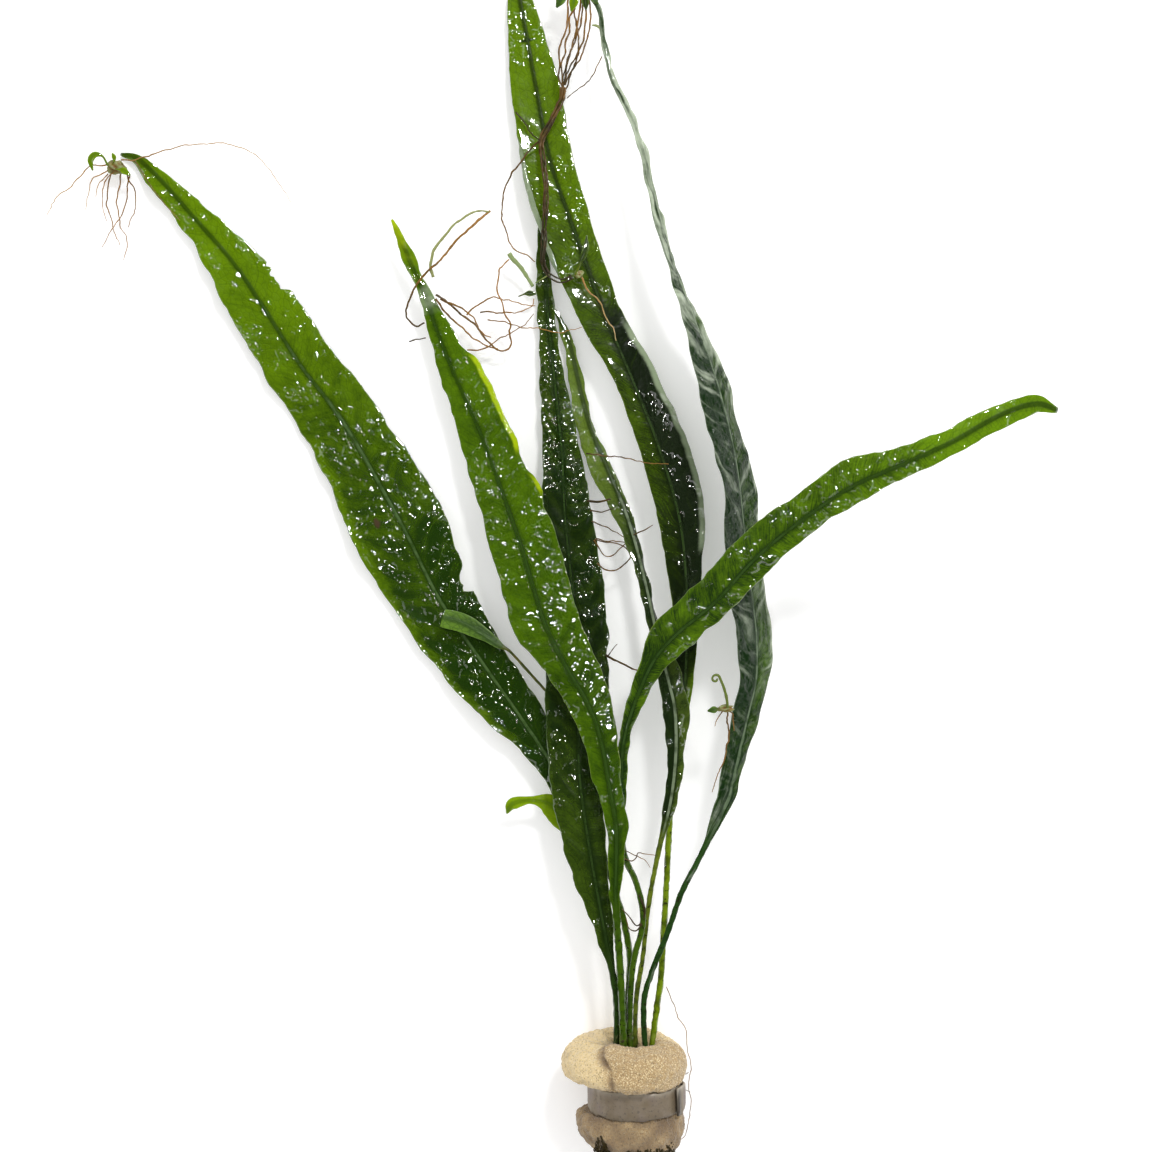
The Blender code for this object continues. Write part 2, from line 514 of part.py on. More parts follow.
def make_tube(name, root, material, collection, point_step=2.6):
    """A root as a curve with a round bevel and closed ends."""
    _, length = smooth_path(root.points, 2)
    path, _ = smooth_path(root.points, max(4, round(length / point_step) + 1))
    curve = bpy.data.curves.new(name, "CURVE")
    curve.dimensions = "3D"
    curve.bevel_depth = root.radius * MM
    curve.bevel_resolution = 1
    curve.use_fill_caps = True
    spline = curve.splines.new("POLY")
    spline.points.add(len(path) - 1)
    for point, place in zip(spline.points, path):
        point.co = (*(place * MM), 1.0)
    return add_object(name, curve, material, collection)


def as_mesh(obj, material, collection):
    """The curve object as a mesh object of the same name, with its caps welded on."""
    graph = bpy.context.evaluated_depsgraph_get()
    mesh = bpy.data.meshes.new_from_object(obj.evaluated_get(graph))
    bm = bmesh.new()
    bm.from_mesh(mesh)
    bmesh.ops.remove_doubles(bm, verts=bm.verts, dist=1e-6)
    bmesh.ops.recalc_face_normals(bm, faces=bm.faces)
    bm.to_mesh(mesh)
    bm.free()
    name = obj.name
    bpy.data.objects.remove(obj, do_unlink=True)
    mesh.materials.clear()
    return add_object(name, mesh, material, collection)


def make_crown(name, centre, half, material, collection):
    """A small lump: a sphere stretched to the given half sizes."""
    mesh = bpy.data.meshes.new(name)
    bm = bmesh.new()
    bmesh.ops.create_uvsphere(bm, u_segments=8, v_segments=6, radius=1.0)
    for vert in bm.verts:
        vert.co = Vector(
            [(middle + reach * value) * MM for middle, reach, value in zip(centre, half, vert.co)]
        )
    bm.to_mesh(mesh)
    bm.free()
    mesh.shade_smooth()
    return add_object(name, mesh, material, collection)


def fuse(body, limbs, cutters):
    """Adds each limb to the body with a Boolean union. The limbs stay as hidden cutters."""
    for limb in limbs:
        union = body.modifiers.new(f"with_{limb.name}"[:60], "BOOLEAN")
        union.operation = "UNION"
        union.object = limb
        for collection in list(limb.users_collection):
            collection.objects.unlink(limb)
        cutters.objects.link(limb)
        limb.hide_render = True
        limb.display_type = "WIRE"


def make_plantlets(collection, cutters):
    """Each young plant: its crown with its roots and shoots grown on."""
    for name, plantlet in PLANTLETS.items():
        material = make_material(f"{name}_skin", plantlet.colour, 0.5)
        body = make_crown(name, plantlet.crown, plantlet.half, material, collection)
        limbs = []
        for number, shoot in enumerate(plantlet.shoots, 1):
            tube = make_tube(f"{name}_shoot_{number}", shoot, material, collection)
            limbs.append(as_mesh(tube, material, collection))
        fuse(body, limbs, cutters)


def foam_ring(y, centre_x, radius, bulge):
    """One outline of the foam at a height along the roll, flattened where it meets the surface."""
    ring = []
    for i in range(FOAM_SIDES):
        angle = 360.0 * i / FOAM_SIDES
        left_share = max(0.0, -cos(radians(angle))) ** 2
        off_seam = abs((angle - FOAM_SEAM_ANGLE + 180) % 360 - 180)
        crease = FOAM_SEAM_DEPTH * max(0.0, 1 - off_seam / FOAM_SEAM_SPREAD)
        reach = radius + bulge * left_share - crease
        x = centre_x + reach * cos(radians(angle))
        z = FOAM_AXIS_Z + reach * sin(radians(angle))
        ring.append((x, y, 0.0 if z < FOAM_PRESSED else z))
    return ring


def make_foam(material, collection):
    """The foam wrap: a soft roll with a waist and a bore from end to end."""
    outer = [foam_ring(*row) for row in FOAM_ROWS]
    bore = []
    for y, (wide, high) in ((FOAM_ROWS[0][0], BORE_TOP), (FOAM_ROWS[-1][0], BORE_FOOT)):
        bore.append(
            [
                (
                    BORE_CENTRE[0] + wide * cos(2 * pi * i / FOAM_SIDES),
                    y,
                    BORE_CENTRE[1] + high * sin(2 * pi * i / FOAM_SIDES),
                )
                for i in range(FOAM_SIDES)
            ]
        )
    mesh = bpy.data.meshes.new("foam_wrap")
    bm = bmesh.new()
    loops = [[bm.verts.new(Vector(point) * MM) for point in ring] for ring in outer + bore[::-1]]
    for low, high in zip(loops, loops[1:] + loops[:1]):
        for i in range(FOAM_SIDES):
            j = (i + 1) % FOAM_SIDES
            bm.faces.new((low[i], low[j], high[j], high[i]))
    bmesh.ops.recalc_face_normals(bm, faces=bm.faces)
    bm.to_mesh(mesh)
    bm.free()
    mesh.shade_smooth()
    mesh.set_sharp_from_angle(angle=radians(40))
    return add_object("foam_wrap", mesh, material, collection)


def make_strip(material, collection):
    """The metal strip: one flat band bent round the foam's waist until its ends overlap."""
    rings = []
    for step in range(STRIP_STEPS + 1):
        turned = STRIP_TURN * step / STRIP_STEPS
        climb = min(max((turned - STRIP_TURN + STRIP_LAP) / (0.5 * STRIP_LAP), 0.0), 1.0)
        inner = STRIP_RADIUS + climb * (STRIP_THICK + GAP)
        angle = radians(STRIP_START + turned)
        ring = []
        for reach, side in ((inner, -1), (inner, 1), (inner + STRIP_THICK, 1), (inner + STRIP_THICK, -1)):
            ring.append(
                (
                    STRIP_CENTRE[0] + reach * cos(angle),
                    STRIP_Y + side * 0.5 * STRIP_WIDE,
                    STRIP_CENTRE[1] + reach * sin(angle),
                )
            )
        rings.append(ring)
    return loft("weight_strip", rings, material, collection)


def make_rhizome(material, collection):
    """The creeping stem that the fronds grow from: a knobbly rod in the foam's bore."""
    rings = []
    turns = [2 * pi * i / RHIZOME_SIDES for i in range(RHIZOME_SIDES)]
    for y, x, z, radius in RHIZOME_ROWS:
        rings.append([(x + radius * cos(turn), y, z + radius * sin(turn)) for turn in turns])
    return loft("rhizome", rings, material, collection)


def make_tuft(material, collection, cutters):
    """The roots that leave the foot of the foam: a crown with roots that fan out from it."""
    body = make_crown("root_tuft", TUFT_CROWN, TUFT_HALF, material, collection)
    limbs = []
    for number in range(TUFT_ROOTS):
        turn = 2 * pi * number / TUFT_ROOTS
        spread = TUFT_SPREAD[0] + TUFT_SPREAD[1] * ((number * TUFT_SPREAD_STRIDE) % TUFT_ROOTS) / TUFT_ROOTS
        start = Vector(TUFT_CROWN) + Vector((TUFT_MOUTH[0] * cos(turn), 0, TUFT_MOUTH[1] * sin(turn)))
        reach = TUFT_LENGTH * (1 - TUFT_LENGTH_RANGE * (1 - sin(3.0 * number)))
        drift = Vector((TUFT_REACH[0] * spread * cos(turn), -reach, TUFT_REACH[1] * spread * sin(turn)))
        sway = Vector((TUFT_SWAY[0] * sin(2.3 * number), 0, TUFT_SWAY[1] * cos(1.7 * number)))
        out, back = TUFT_BENDS
        points = [start, start + drift * out + sway, start + drift * back - sway, start + drift]
        tube = make_tube(
            f"root_tuft_root_{number + 1}", Root(TUFT_ROOT_RADIUS, points), material, collection, 4.0
        )
        limbs.append(as_mesh(tube, material, collection))
    fuse(body, limbs, cutters)


def make_roots(material, collection):
    """Single roots that run free between the fronds and beside the plug."""
    for name, root in ROOTS.items():
        make_tube(name, root, material, collection)


def main():
    """Builds the whole bunch."""
    clear_scene()
    collection = bpy.data.collections.new(OBJECT_NAME)
    cutters = bpy.data.collections.new("cutters")
    for group in (collection, cutters):
        bpy.context.scene.collection.children.link(group)
    foam = make_material("foam", FOAM_COLOUR, 0.9)
    lead = make_material("lead", LEAD_COLOUR, 0.5, 1.0)
    root = make_material("root", ROOT_COLOUR, 0.5)
    rhizome = make_material("rhizome_bark", RHIZOME_COLOUR, 0.7)
    make_fronds(collection)
    make_plantlets(collection, cutters)
    make_roots(root, collection)
    make_foam(foam, collection)
    make_strip(lead, collection)
    make_rhizome(rhizome, collection)
    make_tuft(root, collection, cutters)


main()
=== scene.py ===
"""The looks of a bunch of java fern: wet strap fronds, the young plants on them, the foam plug and its strip.

Lengths are in millimetres unless a name says otherwise, and MM turns them into metres. +Y runs from the plug
to the tips, +X to the right as seen from above, and +Z up from the surface that the bunch lies on.
"""

from __future__ import annotations

import logging
from dataclasses import dataclass, field
from enum import Enum
from math import atan, cos, pi, radians, sin, tan

import bpy
import numpy as np
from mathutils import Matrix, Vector


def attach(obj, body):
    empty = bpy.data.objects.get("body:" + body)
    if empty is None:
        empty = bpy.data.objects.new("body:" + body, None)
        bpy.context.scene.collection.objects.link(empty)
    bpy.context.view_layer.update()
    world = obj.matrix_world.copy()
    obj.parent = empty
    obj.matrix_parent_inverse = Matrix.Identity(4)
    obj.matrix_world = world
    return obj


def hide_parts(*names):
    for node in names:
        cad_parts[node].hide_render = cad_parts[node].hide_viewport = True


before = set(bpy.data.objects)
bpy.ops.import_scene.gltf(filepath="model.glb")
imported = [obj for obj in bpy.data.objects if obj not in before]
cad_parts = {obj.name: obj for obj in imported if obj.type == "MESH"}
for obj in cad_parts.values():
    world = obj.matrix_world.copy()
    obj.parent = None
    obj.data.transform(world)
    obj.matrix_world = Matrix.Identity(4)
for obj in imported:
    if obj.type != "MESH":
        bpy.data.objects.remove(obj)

LOG = logging.getLogger("java_fern")
Array = np.ndarray
Colour = tuple[float, float, float]
Point = tuple[float, float, float]

MM = 0.001
BODY = "root"
SURFACE_CLEARANCE = 0.06  # the lowest that a leaf or root lies above the surface
PATH_DENSITY = 48  # points between two given points before a path is read evenly
DRIED = 2.0  # how much less beaded a brown blemish is


class Side(Enum):
    """The two halves of a frond, as seen from above with the tip pointing away."""

    LEFT = 1
    RIGHT = -1


class Tint(Enum):
    """What a band or a spot does to the leaf colour under it."""

    BRIGHT = "bright"
    DEEP = "deep"
    YELLOW = "yellow"
    PALE = "pale"
    BROWN = "brown"


def smooth_step(low: float, high: float, value: Array) -> Array:
    """An S-shaped rise from 0 at low to 1 at high.

    Args:
        low: Value at which the rise starts.
        high: Value at which it ends.
        value: Values to read it at.

    Returns:
        The risen share for each value.
    """
    t = np.clip((value - low) / (high - low), 0.0, 1.0)
    return t * t * (3.0 - 2.0 * t)


def window(start: float, end: float, ramp: float, value: Array) -> Array:
    """One between start and end and zero outside, with soft ends.

    Args:
        start: Where the window opens.
        end: Where it closes.
        ramp: Length of each soft end, inside the window.
        value: Values to read it at.

    Returns:
        The window's height for each value.
    """
    return smooth_step(start, start + ramp, value) * (1.0 - smooth_step(end - ramp, end, value))


def smooth_path(points: list[Point] | Array, count: int) -> tuple[Array, float]:
    """Evenly spaced points of a smooth curve through the given ones.

    Args:
        points: Points that the curve passes through.
        count: How many points to return.

    Returns:
        The points, and the length of the curve.
    """
    given = np.array(points, float)
    ends = np.vstack([2 * given[0] - given[1], given, 2 * given[-1] - given[-2]])
    t = np.linspace(0.0, 1.0, PATH_DENSITY, endpoint=False)[:, None]
    dense = []
    for p0, p1, p2, p3 in zip(ends, ends[1:], ends[2:], ends[3:]):
        bend = (p2 - p0) * t + (2 * p0 - 5 * p1 + 4 * p2 - p3) * t**2 + (3 * p1 - p0 - 3 * p2 + p3) * t**3
        dense.append(p1 + 0.5 * bend)
    curve = np.vstack([*dense, given[-1:]])
    along = np.concatenate([[0.0], np.cumsum(np.linalg.norm(np.diff(curve, axis=0), axis=1))])
    even = np.linspace(0.0, along[-1], count)
    return np.column_stack([np.interp(even, along, curve[:, axis]) for axis in range(given.shape[1])]), along[-1]


def read_rows(rows: list[tuple[float, ...]], shares: Array) -> Array:
    """A table's values on smooth curves that pass through its rows and do not overshoot them.

    Args:
        rows: Rows that start with the share at which their other values hold.
        shares: Shares to read the table at.

    Returns:
        One row of values for each share.
    """
    table = np.array(rows, float)
    at, values = table[:, 0], table[:, 1:]
    span = np.diff(at)[:, None]
    slope = np.diff(values, axis=0) / span
    bend = np.vstack([slope[:1], np.zeros_like(slope[1:]), slope[-1:]])
    before, after = slope[:-1], slope[1:]
    steady = before * after > 0
    bend[1:-1][steady] = (2 * before * after)[steady] / (before + after)[steady]
    cell = np.clip(np.searchsorted(at, shares, side="right") - 1, 0, len(at) - 2)
    width = span[cell]
    t = ((shares - at[cell]) / width[:, 0])[:, None]
    return (
        values[cell] * (1 - 3 * t**2 + 2 * t**3)
        + values[cell + 1] * (3 * t**2 - 2 * t**3)
        + bend[cell] * width * (t - 2 * t**2 + t**3)
        + bend[cell + 1] * width * (t**3 - t**2)
    )


def frames_along(path: Array) -> tuple[Array, Array]:
    """The left and up directions at each point of a path that runs mostly level.

    Args:
        path: Points of the path.

    Returns:
        Unit vectors to the left, and unit vectors up.
    """
    tangent = np.gradient(path, axis=0)
    tangent /= np.linalg.norm(tangent, axis=1)[:, None]
    left = np.cross((0.0, 0.0, 1.0), tangent)
    left /= np.linalg.norm(left, axis=1)[:, None]
    return left, np.cross(tangent, left)


class SmoothNoise:
    """Repeatable smooth noise: a sum of waves in random directions, mostly between -1 and 1."""

    def __init__(self, seed: int, size: float, waves: int = 24) -> None:
        """Draws the waves.

        Args:
            seed: Start of the random draws.
            size: Typical distance from one hump to the next.
            waves: Number of waves in the sum.
        """
        draw = np.random.default_rng(seed)
        heading = draw.normal(size=(waves, 3))
        heading /= np.linalg.norm(heading, axis=1)[:, None]
        self.pitch = heading * (2 * pi / size) * draw.uniform(0.6, 1.5, (waves, 1))
        self.phase = draw.uniform(0.0, 2 * pi, waves)

    def at(self, x: Array, y: Array | float = 0.0, z: Array | float = 0.0) -> Array:
        """The noise at the given places.

        Args:
            x: First coordinate.
            y: Second coordinate.
            z: Third coordinate.

        Returns:
            The noise, in the shape of the coordinates.
        """
        x, y, z = np.broadcast_arrays(np.asarray(x, float), y, z)
        total = np.zeros(x.shape)
        for (across, along, up), phase in zip(self.pitch, self.phase):
            total += np.sin(across * x + along * y + up * z + phase)
        return total / np.sqrt(len(self.phase))


class MeshDraft:
    """Points in millimetres, faces, and values per point, gathered before they become one mesh."""

    def __init__(self) -> None:
        """Starts an empty draft."""
        self.points: list[Array] = []
        self.faces: list[list[int]] = []
        self.values: dict[str, list[Array]] = {}
        self.count = 0

    def add(self, points: Array, faces: list[list[int]], values: dict[str, Array]) -> None:
        """Adds one closed shell, turned so that its faces point out.

        Args:
            points: The shell's points.
            faces: Its faces, as indices into the points.
            values: A value or a vector per point, by name.
        """
        volume = 0.0
        for size in (3, 4):
            group = np.array([face for face in faces if len(face) == size], int)
            if len(group):
                corner = points[group]
                for k in range(1, size - 1):
                    volume += np.einsum("ij,ij->", corner[:, 0], np.cross(corner[:, k], corner[:, k + 1]))
        turned = faces if volume > 0 else [face[::-1] for face in faces]
        self.faces.extend([index + self.count for index in face] for face in turned)
        self.points.append(points)
        for name, value in values.items():
            self.values.setdefault(name, []).append(np.asarray(value, float))
        self.count += len(points)

    def add_grid(self, grid: Array, values: dict[str, Array]) -> None:
        """Adds a tube: rows of points that run round, closed with a fan at each end.

        Args:
            grid: Points as rows, columns, xyz.
            values: A value or a vector per point of the grid, by name.
        """
        rows, columns = grid.shape[:2]
        row, column = np.meshgrid(np.arange(rows - 1), np.arange(columns), indexing="ij")
        after = (column + 1) % columns
        quads = np.stack(
            [row * columns + column, row * columns + after, (row + 1) * columns + after, (row + 1) * columns + column],
            axis=-1,
        ).reshape(-1, 4)
        start, end = rows * columns, rows * columns + 1
        last = (rows - 1) * columns
        fans = [[(k + 1) % columns, k, start] for k in range(columns)]
        fans += [[last + k, last + (k + 1) % columns, end] for k in range(columns)]
        points = np.vstack([grid.reshape(-1, 3), grid[0].mean(axis=0), grid[-1].mean(axis=0)])
        ended = {}
        for name, value in values.items():
            flat = value.reshape(rows * columns, -1)
            closed = np.vstack([flat, value[0].reshape(columns, -1).mean(axis=0), value[-1].reshape(columns, -1).mean(axis=0)])
            ended[name] = closed if closed.shape[1] > 1 else closed[:, 0]
        self.add(points, quads.tolist() + fans, ended)

    def build(self, name: str, material: bpy.types.Material, slot: str, replaces: tuple[str, ...] = ()) -> bpy.types.Object:
        """Makes the object, which rides on the part's one body.

        Args:
            name: The piece's name.
            material: Its material.
            slot: The record's material slot; it is not used.
            replaces: CAD nodes that it stands for.

        Returns:
            The object.
        """
        mesh = bpy.data.meshes.new(name)
        mesh.from_pydata((np.vstack(self.points) * MM).tolist(), [], self.faces)
        for key, parts in self.values.items():
            joined = np.concatenate(parts)
            if joined.ndim > 1:
                layer = mesh.attributes.new(key, "FLOAT_VECTOR", "POINT")
                layer.data.foreach_set("vector", joined.astype(np.float32).ravel())
            else:
                layer = mesh.attributes.new(key, "FLOAT", "POINT")
                layer.data.foreach_set("value", joined.astype(np.float32))
        mesh.shade_smooth()
        mesh.materials.append(material)
        piece = bpy.data.objects.new(name, mesh)
        bpy.context.scene.collection.objects.link(piece)
        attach(piece, BODY)
        if replaces:
            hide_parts(*replaces)
        LOG.info("%s: %d points, %d faces", name, self.count, len(self.faces))
        return piece


Socket = bpy.types.NodeSocket
Feed = bpy.types.NodeSocket | float | tuple


class NodeGraph:
    """A material's node tree, built by short calls that return sockets."""

    def __init__(self, name: str) -> None:
        """Starts a material with a Principled shader.

        Args:
            name: The material's name.
        """
        self.material = bpy.data.materials.new(name)
        self.material.use_nodes = True
        self.tree = self.material.node_tree
        self.shader = self.tree.nodes["Principled BSDF"]

    def feed(self, socket: Socket, value: Feed) -> None:
        """Links a socket, or sets its own value.

        Args:
            socket: The input to fill.
            value: Another node's output, a number, a colour or a vector.
        """
        if isinstance(value, bpy.types.NodeSocket):
            self.tree.links.new(value, socket)
        elif isinstance(value, tuple) and len(value) == 3 and socket.type == "RGBA":
            socket.default_value = (*value, 1.0)
        else:
            socket.default_value = value

    def value(self, name: str) -> Socket:
        """A mesh's own value per point."""
        node = self.tree.nodes.new("ShaderNodeAttribute")
        node.attribute_name = name
        return node.outputs["Fac"]

    def vector(self, name: str) -> Socket:
        """A mesh's own vector per point."""
        node = self.tree.nodes.new("ShaderNodeAttribute")
        node.attribute_name = name
        return node.outputs["Vector"]

    def place(self) -> Socket:
        """The object's own coordinates, in metres."""
        return self.tree.nodes.new("ShaderNodeTexCoord").outputs["Object"]

    def stretched(self, vector: Feed, scale: Point) -> Socket:
        """A vector scaled along each axis.

        Args:
            vector: The vector.
            scale: Factor for each axis.

        Returns:
            The scaled vector.
        """
        node = self.tree.nodes.new("ShaderNodeMapping")
        self.feed(node.inputs["Vector"], vector)
        node.inputs["Scale"].default_value = scale
        return node.outputs["Vector"]

    def combine(self, first: Feed, second: Feed) -> Socket:
        """A vector from two numbers."""
        node = self.tree.nodes.new("ShaderNodeCombineXYZ")
        self.feed(node.inputs["X"], first)
        self.feed(node.inputs["Y"], second)
        return node.outputs["Vector"]

    def math(self, operation: str, first: Feed, second: Feed = 0.0, third: Feed = 0.0) -> Socket:
        """One arithmetic step.

        Args:
            operation: Blender's name for it.
            first: First operand.
            second: Second operand.
            third: Third operand.

        Returns:
            The result.
        """
        node = self.tree.nodes.new("ShaderNodeMath")
        node.operation = operation
        for socket, value in zip(node.inputs, (first, second, third)):
            self.feed(socket, value)
        return node.outputs["Value"]

    def rise(self, value: Feed, low: float, high: float, bottom: float = 0.0, top: float = 1.0) -> Socket:
        """A value mapped along an S-shaped rise.

        Args:
            value: The value.
            low: Where the rise starts.
            high: Where it ends.
            bottom: Result below low.
            top: Result above high.

        Returns:
            The mapped value.
        """
        node = self.tree.nodes.new("ShaderNodeMapRange")
        node.interpolation_type = "SMOOTHSTEP"
        for name, filled in (("Value", value), ("From Min", low), ("From Max", high), ("To Min", bottom), ("To Max", top)):
            self.feed(node.inputs[name], filled)
        return node.outputs["Result"]

    def noise(self, vector: Feed, cell: float, detail: float = 2.0, rough: float = 0.5) -> Socket:
        """Cloudy noise from 0 to 1.

        Args:
            vector: Where to read it.
            cell: Size of its cells, in the vector's unit.
            detail: Number of finer layers.
            rough: Strength of the finer layers.

        Returns:
            The noise.
        """
        node = self.tree.nodes.new("ShaderNodeTexNoise")
        self.feed(node.inputs["Vector"], vector)
        node.inputs["Scale"].default_value = 1.0 / cell
        node.inputs["Detail"].default_value = detail
        node.inputs["Roughness"].default_value = rough
        return node.outputs["Fac"]

    def cells(self, vector: Feed, cell: float, feature: str = "F1") -> Socket:
        """Distance to the points or borders of an irregular net of cells.

        Args:
            vector: Where to read it.
            cell: Size of its cells, in the vector's unit.
            feature: Blender's name for what is measured.

        Returns:
            The distance, as a share of a cell.
        """
        node = self.tree.nodes.new("ShaderNodeTexVoronoi")
        node.feature = feature
        self.feed(node.inputs["Vector"], vector)
        node.inputs["Scale"].default_value = 1.0 / cell
        return node.outputs["Distance"]

    def mix(self, share: Feed, first: Feed, second: Feed, how: str = "MIX") -> Socket:
        """Two colours mixed.

        Args:
            share: Share of the second colour.
            first: First colour.
            second: Second colour.
            how: Blender's name for the way of mixing.

        Returns:
            The mixed colour.
        """
        node = self.tree.nodes.new("ShaderNodeMix")
        node.data_type = "RGBA"
        node.blend_type = how
        self.feed(node.inputs["Factor"], share)
        self.feed(node.inputs[6], first)
        self.feed(node.inputs[7], second)
        return node.outputs[2]

    def bump(self, height: Feed, normal: Feed | None = None) -> Socket:
        """A surface normal bent by a height in millimetres.

        Args:
            height: The height.
            normal: A normal to bend further, if not the surface's own.

        Returns:
            The bent normal.
        """
        node = self.tree.nodes.new("ShaderNodeBump")
        node.inputs["Distance"].default_value = MM
        self.feed(node.inputs["Height"], height)
        if normal is not None:
            self.feed(node.inputs["Normal"], normal)
        return node.outputs["Normal"]

    def finish(self, **sockets: Feed) -> bpy.types.Material:
        """Fills the shader's sockets.

        Args:
            **sockets: Values by socket name, with underscores for spaces.

        Returns:
            The material.
        """
        for name, value in sockets.items():
            self.feed(self.shader.inputs[name.replace("_", " ")], value)
        return self.material


@dataclass(frozen=True)
class LeafFinish:
    """A wet fern leaf: two greens, its veins, its paler underside and the water film's sparkle."""

    name: str
    bright: Colour = (0.125, 0.235, 0.0015)
    deep: Colour = (0.012, 0.034, 0.002)
    # The midrib's paler colour, partly its own and partly a painted highlight on the raised rib.
    rib: Colour = (0.075, 0.14, 0.035)
    under: Colour = (0.060, 0.105, 0.040)
    # The margin's colour, painted brighter as light showing through the thin edge.
    rim: Colour = (0.24, 0.34, 0.03)
    stem: Colour = (0.045, 0.095, 0.004)
    scale: Colour = (0.012, 0.009, 0.003)
    yellow: Colour = (0.34, 0.46, 0.006)
    pale: Colour = (0.26, 0.32, 0.20)
    brown: Colour = (0.060, 0.038, 0.020)
    vein_gap: float = 6.5
    vein_dark: float = 0.30
    # How much lighter the veins turn in dark parts: partly paler veins, partly painted highlights.
    vein_pale_and_highlight: float = 0.35
    # The next two paint pale sheen streaks over the blade: the white board's reflection in a steep wet leaf.
    painted_sheen: float = 0.0
    sheen_streak: float = 0.0
    rib_shown: float = 0.55
    rib_wide: float = 0.46
    bulge: float = 0.16
    # How strongly the margin's painted light shows.
    rim_glow_shown: float = 0.55
    hatch: float = 0.10
    net: float = 0.22
    mottle: float = 0.34
    roughness: float = 0.40
    gloss: float = 0.01
    coat: float = 0.85
    coat_ior: float = 1.85
    ripple: float = 0.75
    bead: float = 1.5
    film_rough: float = 0.06

    def material(self) -> bpy.types.Material:
        """The leaf's material, from the values that its mesh carries."""
        graph = NodeGraph(self.name)
        at = graph.vector("leaf_at")
        place = graph.stretched(graph.place(), (1 / MM, 1 / MM, 1 / MM))
        colour = self.leaf_colour(graph, at, place)
        wet, fine = self.heights(graph, at, place)
        dull = graph.value("pale")
        rough = graph.math("MULTIPLY_ADD", graph.noise(place, 2.2), 0.22, self.roughness - 0.11)
        rough = graph.math("MULTIPLY_ADD", dull, 0.25, rough)
        skin = graph.bump(graph.math("MULTIPLY_ADD", wet, 0.10, fine))
        film = graph.bump(graph.math("MULTIPLY_ADD", fine, 0.1, wet))
        return graph.finish(
            Base_Color=colour, Roughness=rough, Normal=skin, Coat_Normal=film, Specular_IOR_Level=self.gloss,
            Coat_Weight=self.coat, Coat_Roughness=self.film_rough, Coat_IOR=self.coat_ior,
        )

    def leaf_colour(self, graph: NodeGraph, at: Socket, place: Socket) -> Socket:
        """The green of the blade with its veins, midrib, margin and marks; it paints highlights on the midrib and
        veins, light on the margin and shade beside the midrib.

        Args:
            graph: The material's graph.
            at: Place on the leaf: along it and across it.
            place: Place in space, in millimetres.

        Returns:
            The colour.
        """
        cloud = graph.noise(place, 11.0, 2.0)
        mottle = graph.noise(place, 2.4, 3.0)
        speck = graph.noise(place, 0.55, 2.0)
        from_rib, to_edge = graph.value("from_rib"), graph.value("to_edge")
        running = graph.math("MULTIPLY", graph.value("vein_at"), self.vein_gap)
        fibre = graph.noise(graph.stretched(graph.combine(running, from_rib), (1.0, 0.14, 1.0)), 0.38, 1.0)
        tone = graph.math("MULTIPLY_ADD", graph.math("SUBTRACT", cloud, 0.5), 1.3 * self.mottle, graph.value("deep"))
        tone = graph.math("MULTIPLY_ADD", graph.math("SUBTRACT", mottle, 0.5), self.mottle, tone)
        tone = graph.math("MULTIPLY_ADD", graph.math("SUBTRACT", speck, 0.5), 0.5 * self.mottle, tone)
        tone = graph.math("MULTIPLY_ADD", graph.math("SUBTRACT", fibre, 0.5), 3.0 * self.hatch, tone)
        blade = graph.math("SUBTRACT", 1.0, graph.value("stem"))
        bulge = graph.math("MULTIPLY", graph.rise(graph.value("dome"), 0.25, 0.95), graph.rise(tone, 0.3, 0.8, 0.25 * self.bulge, self.bulge))
        tone = graph.math("ADD", tone, bulge)
        colour = graph.mix(graph.rise(tone, -0.1, 1.05), self.bright, self.deep)
        phase = graph.math("PINGPONG", graph.value("vein_at"), 0.5)
        near = graph.math("MULTIPLY", phase, self.vein_gap)
        vein = graph.math("MULTIPLY", graph.rise(near, 0.04, 0.26, 1.0, 0.0), graph.rise(from_rib, 0.3, 1.4))
        vein = graph.math("MULTIPLY", graph.math("MULTIPLY", vein, graph.rise(to_edge, 0.4, 1.8)), blade)
        shown = graph.math("MULTIPLY", graph.rise(cloud, 0.36, 0.62, 0.25, 1.0), self.vein_dark)
        # In dark parts the veins turn lighter: partly paler veins, partly painted highlights along the borders of the
        # quilted domes.
        vein_colour = graph.mix(graph.rise(tone, 0.60, 0.85, 0.0, self.vein_pale_and_highlight), self.deep, self.bright)
        colour = graph.mix(graph.math("MULTIPLY", vein, shown), colour, vein_colour)
        slanted = graph.noise(graph.stretched(graph.combine(running, from_rib), (1.0, 0.30, 1.0)), 3.2, 3.0)
        lengthwise = graph.noise(graph.stretched(at, (0.08, 1.0, 1.0)), 0.9, 2.0)
        wideness = graph.rise(graph.math("ADD", from_rib, to_edge), 2.5, 6.0)
        streaks = graph.math("MULTIPLY_ADD", graph.math("SUBTRACT", slanted, lengthwise), wideness, lengthwise)
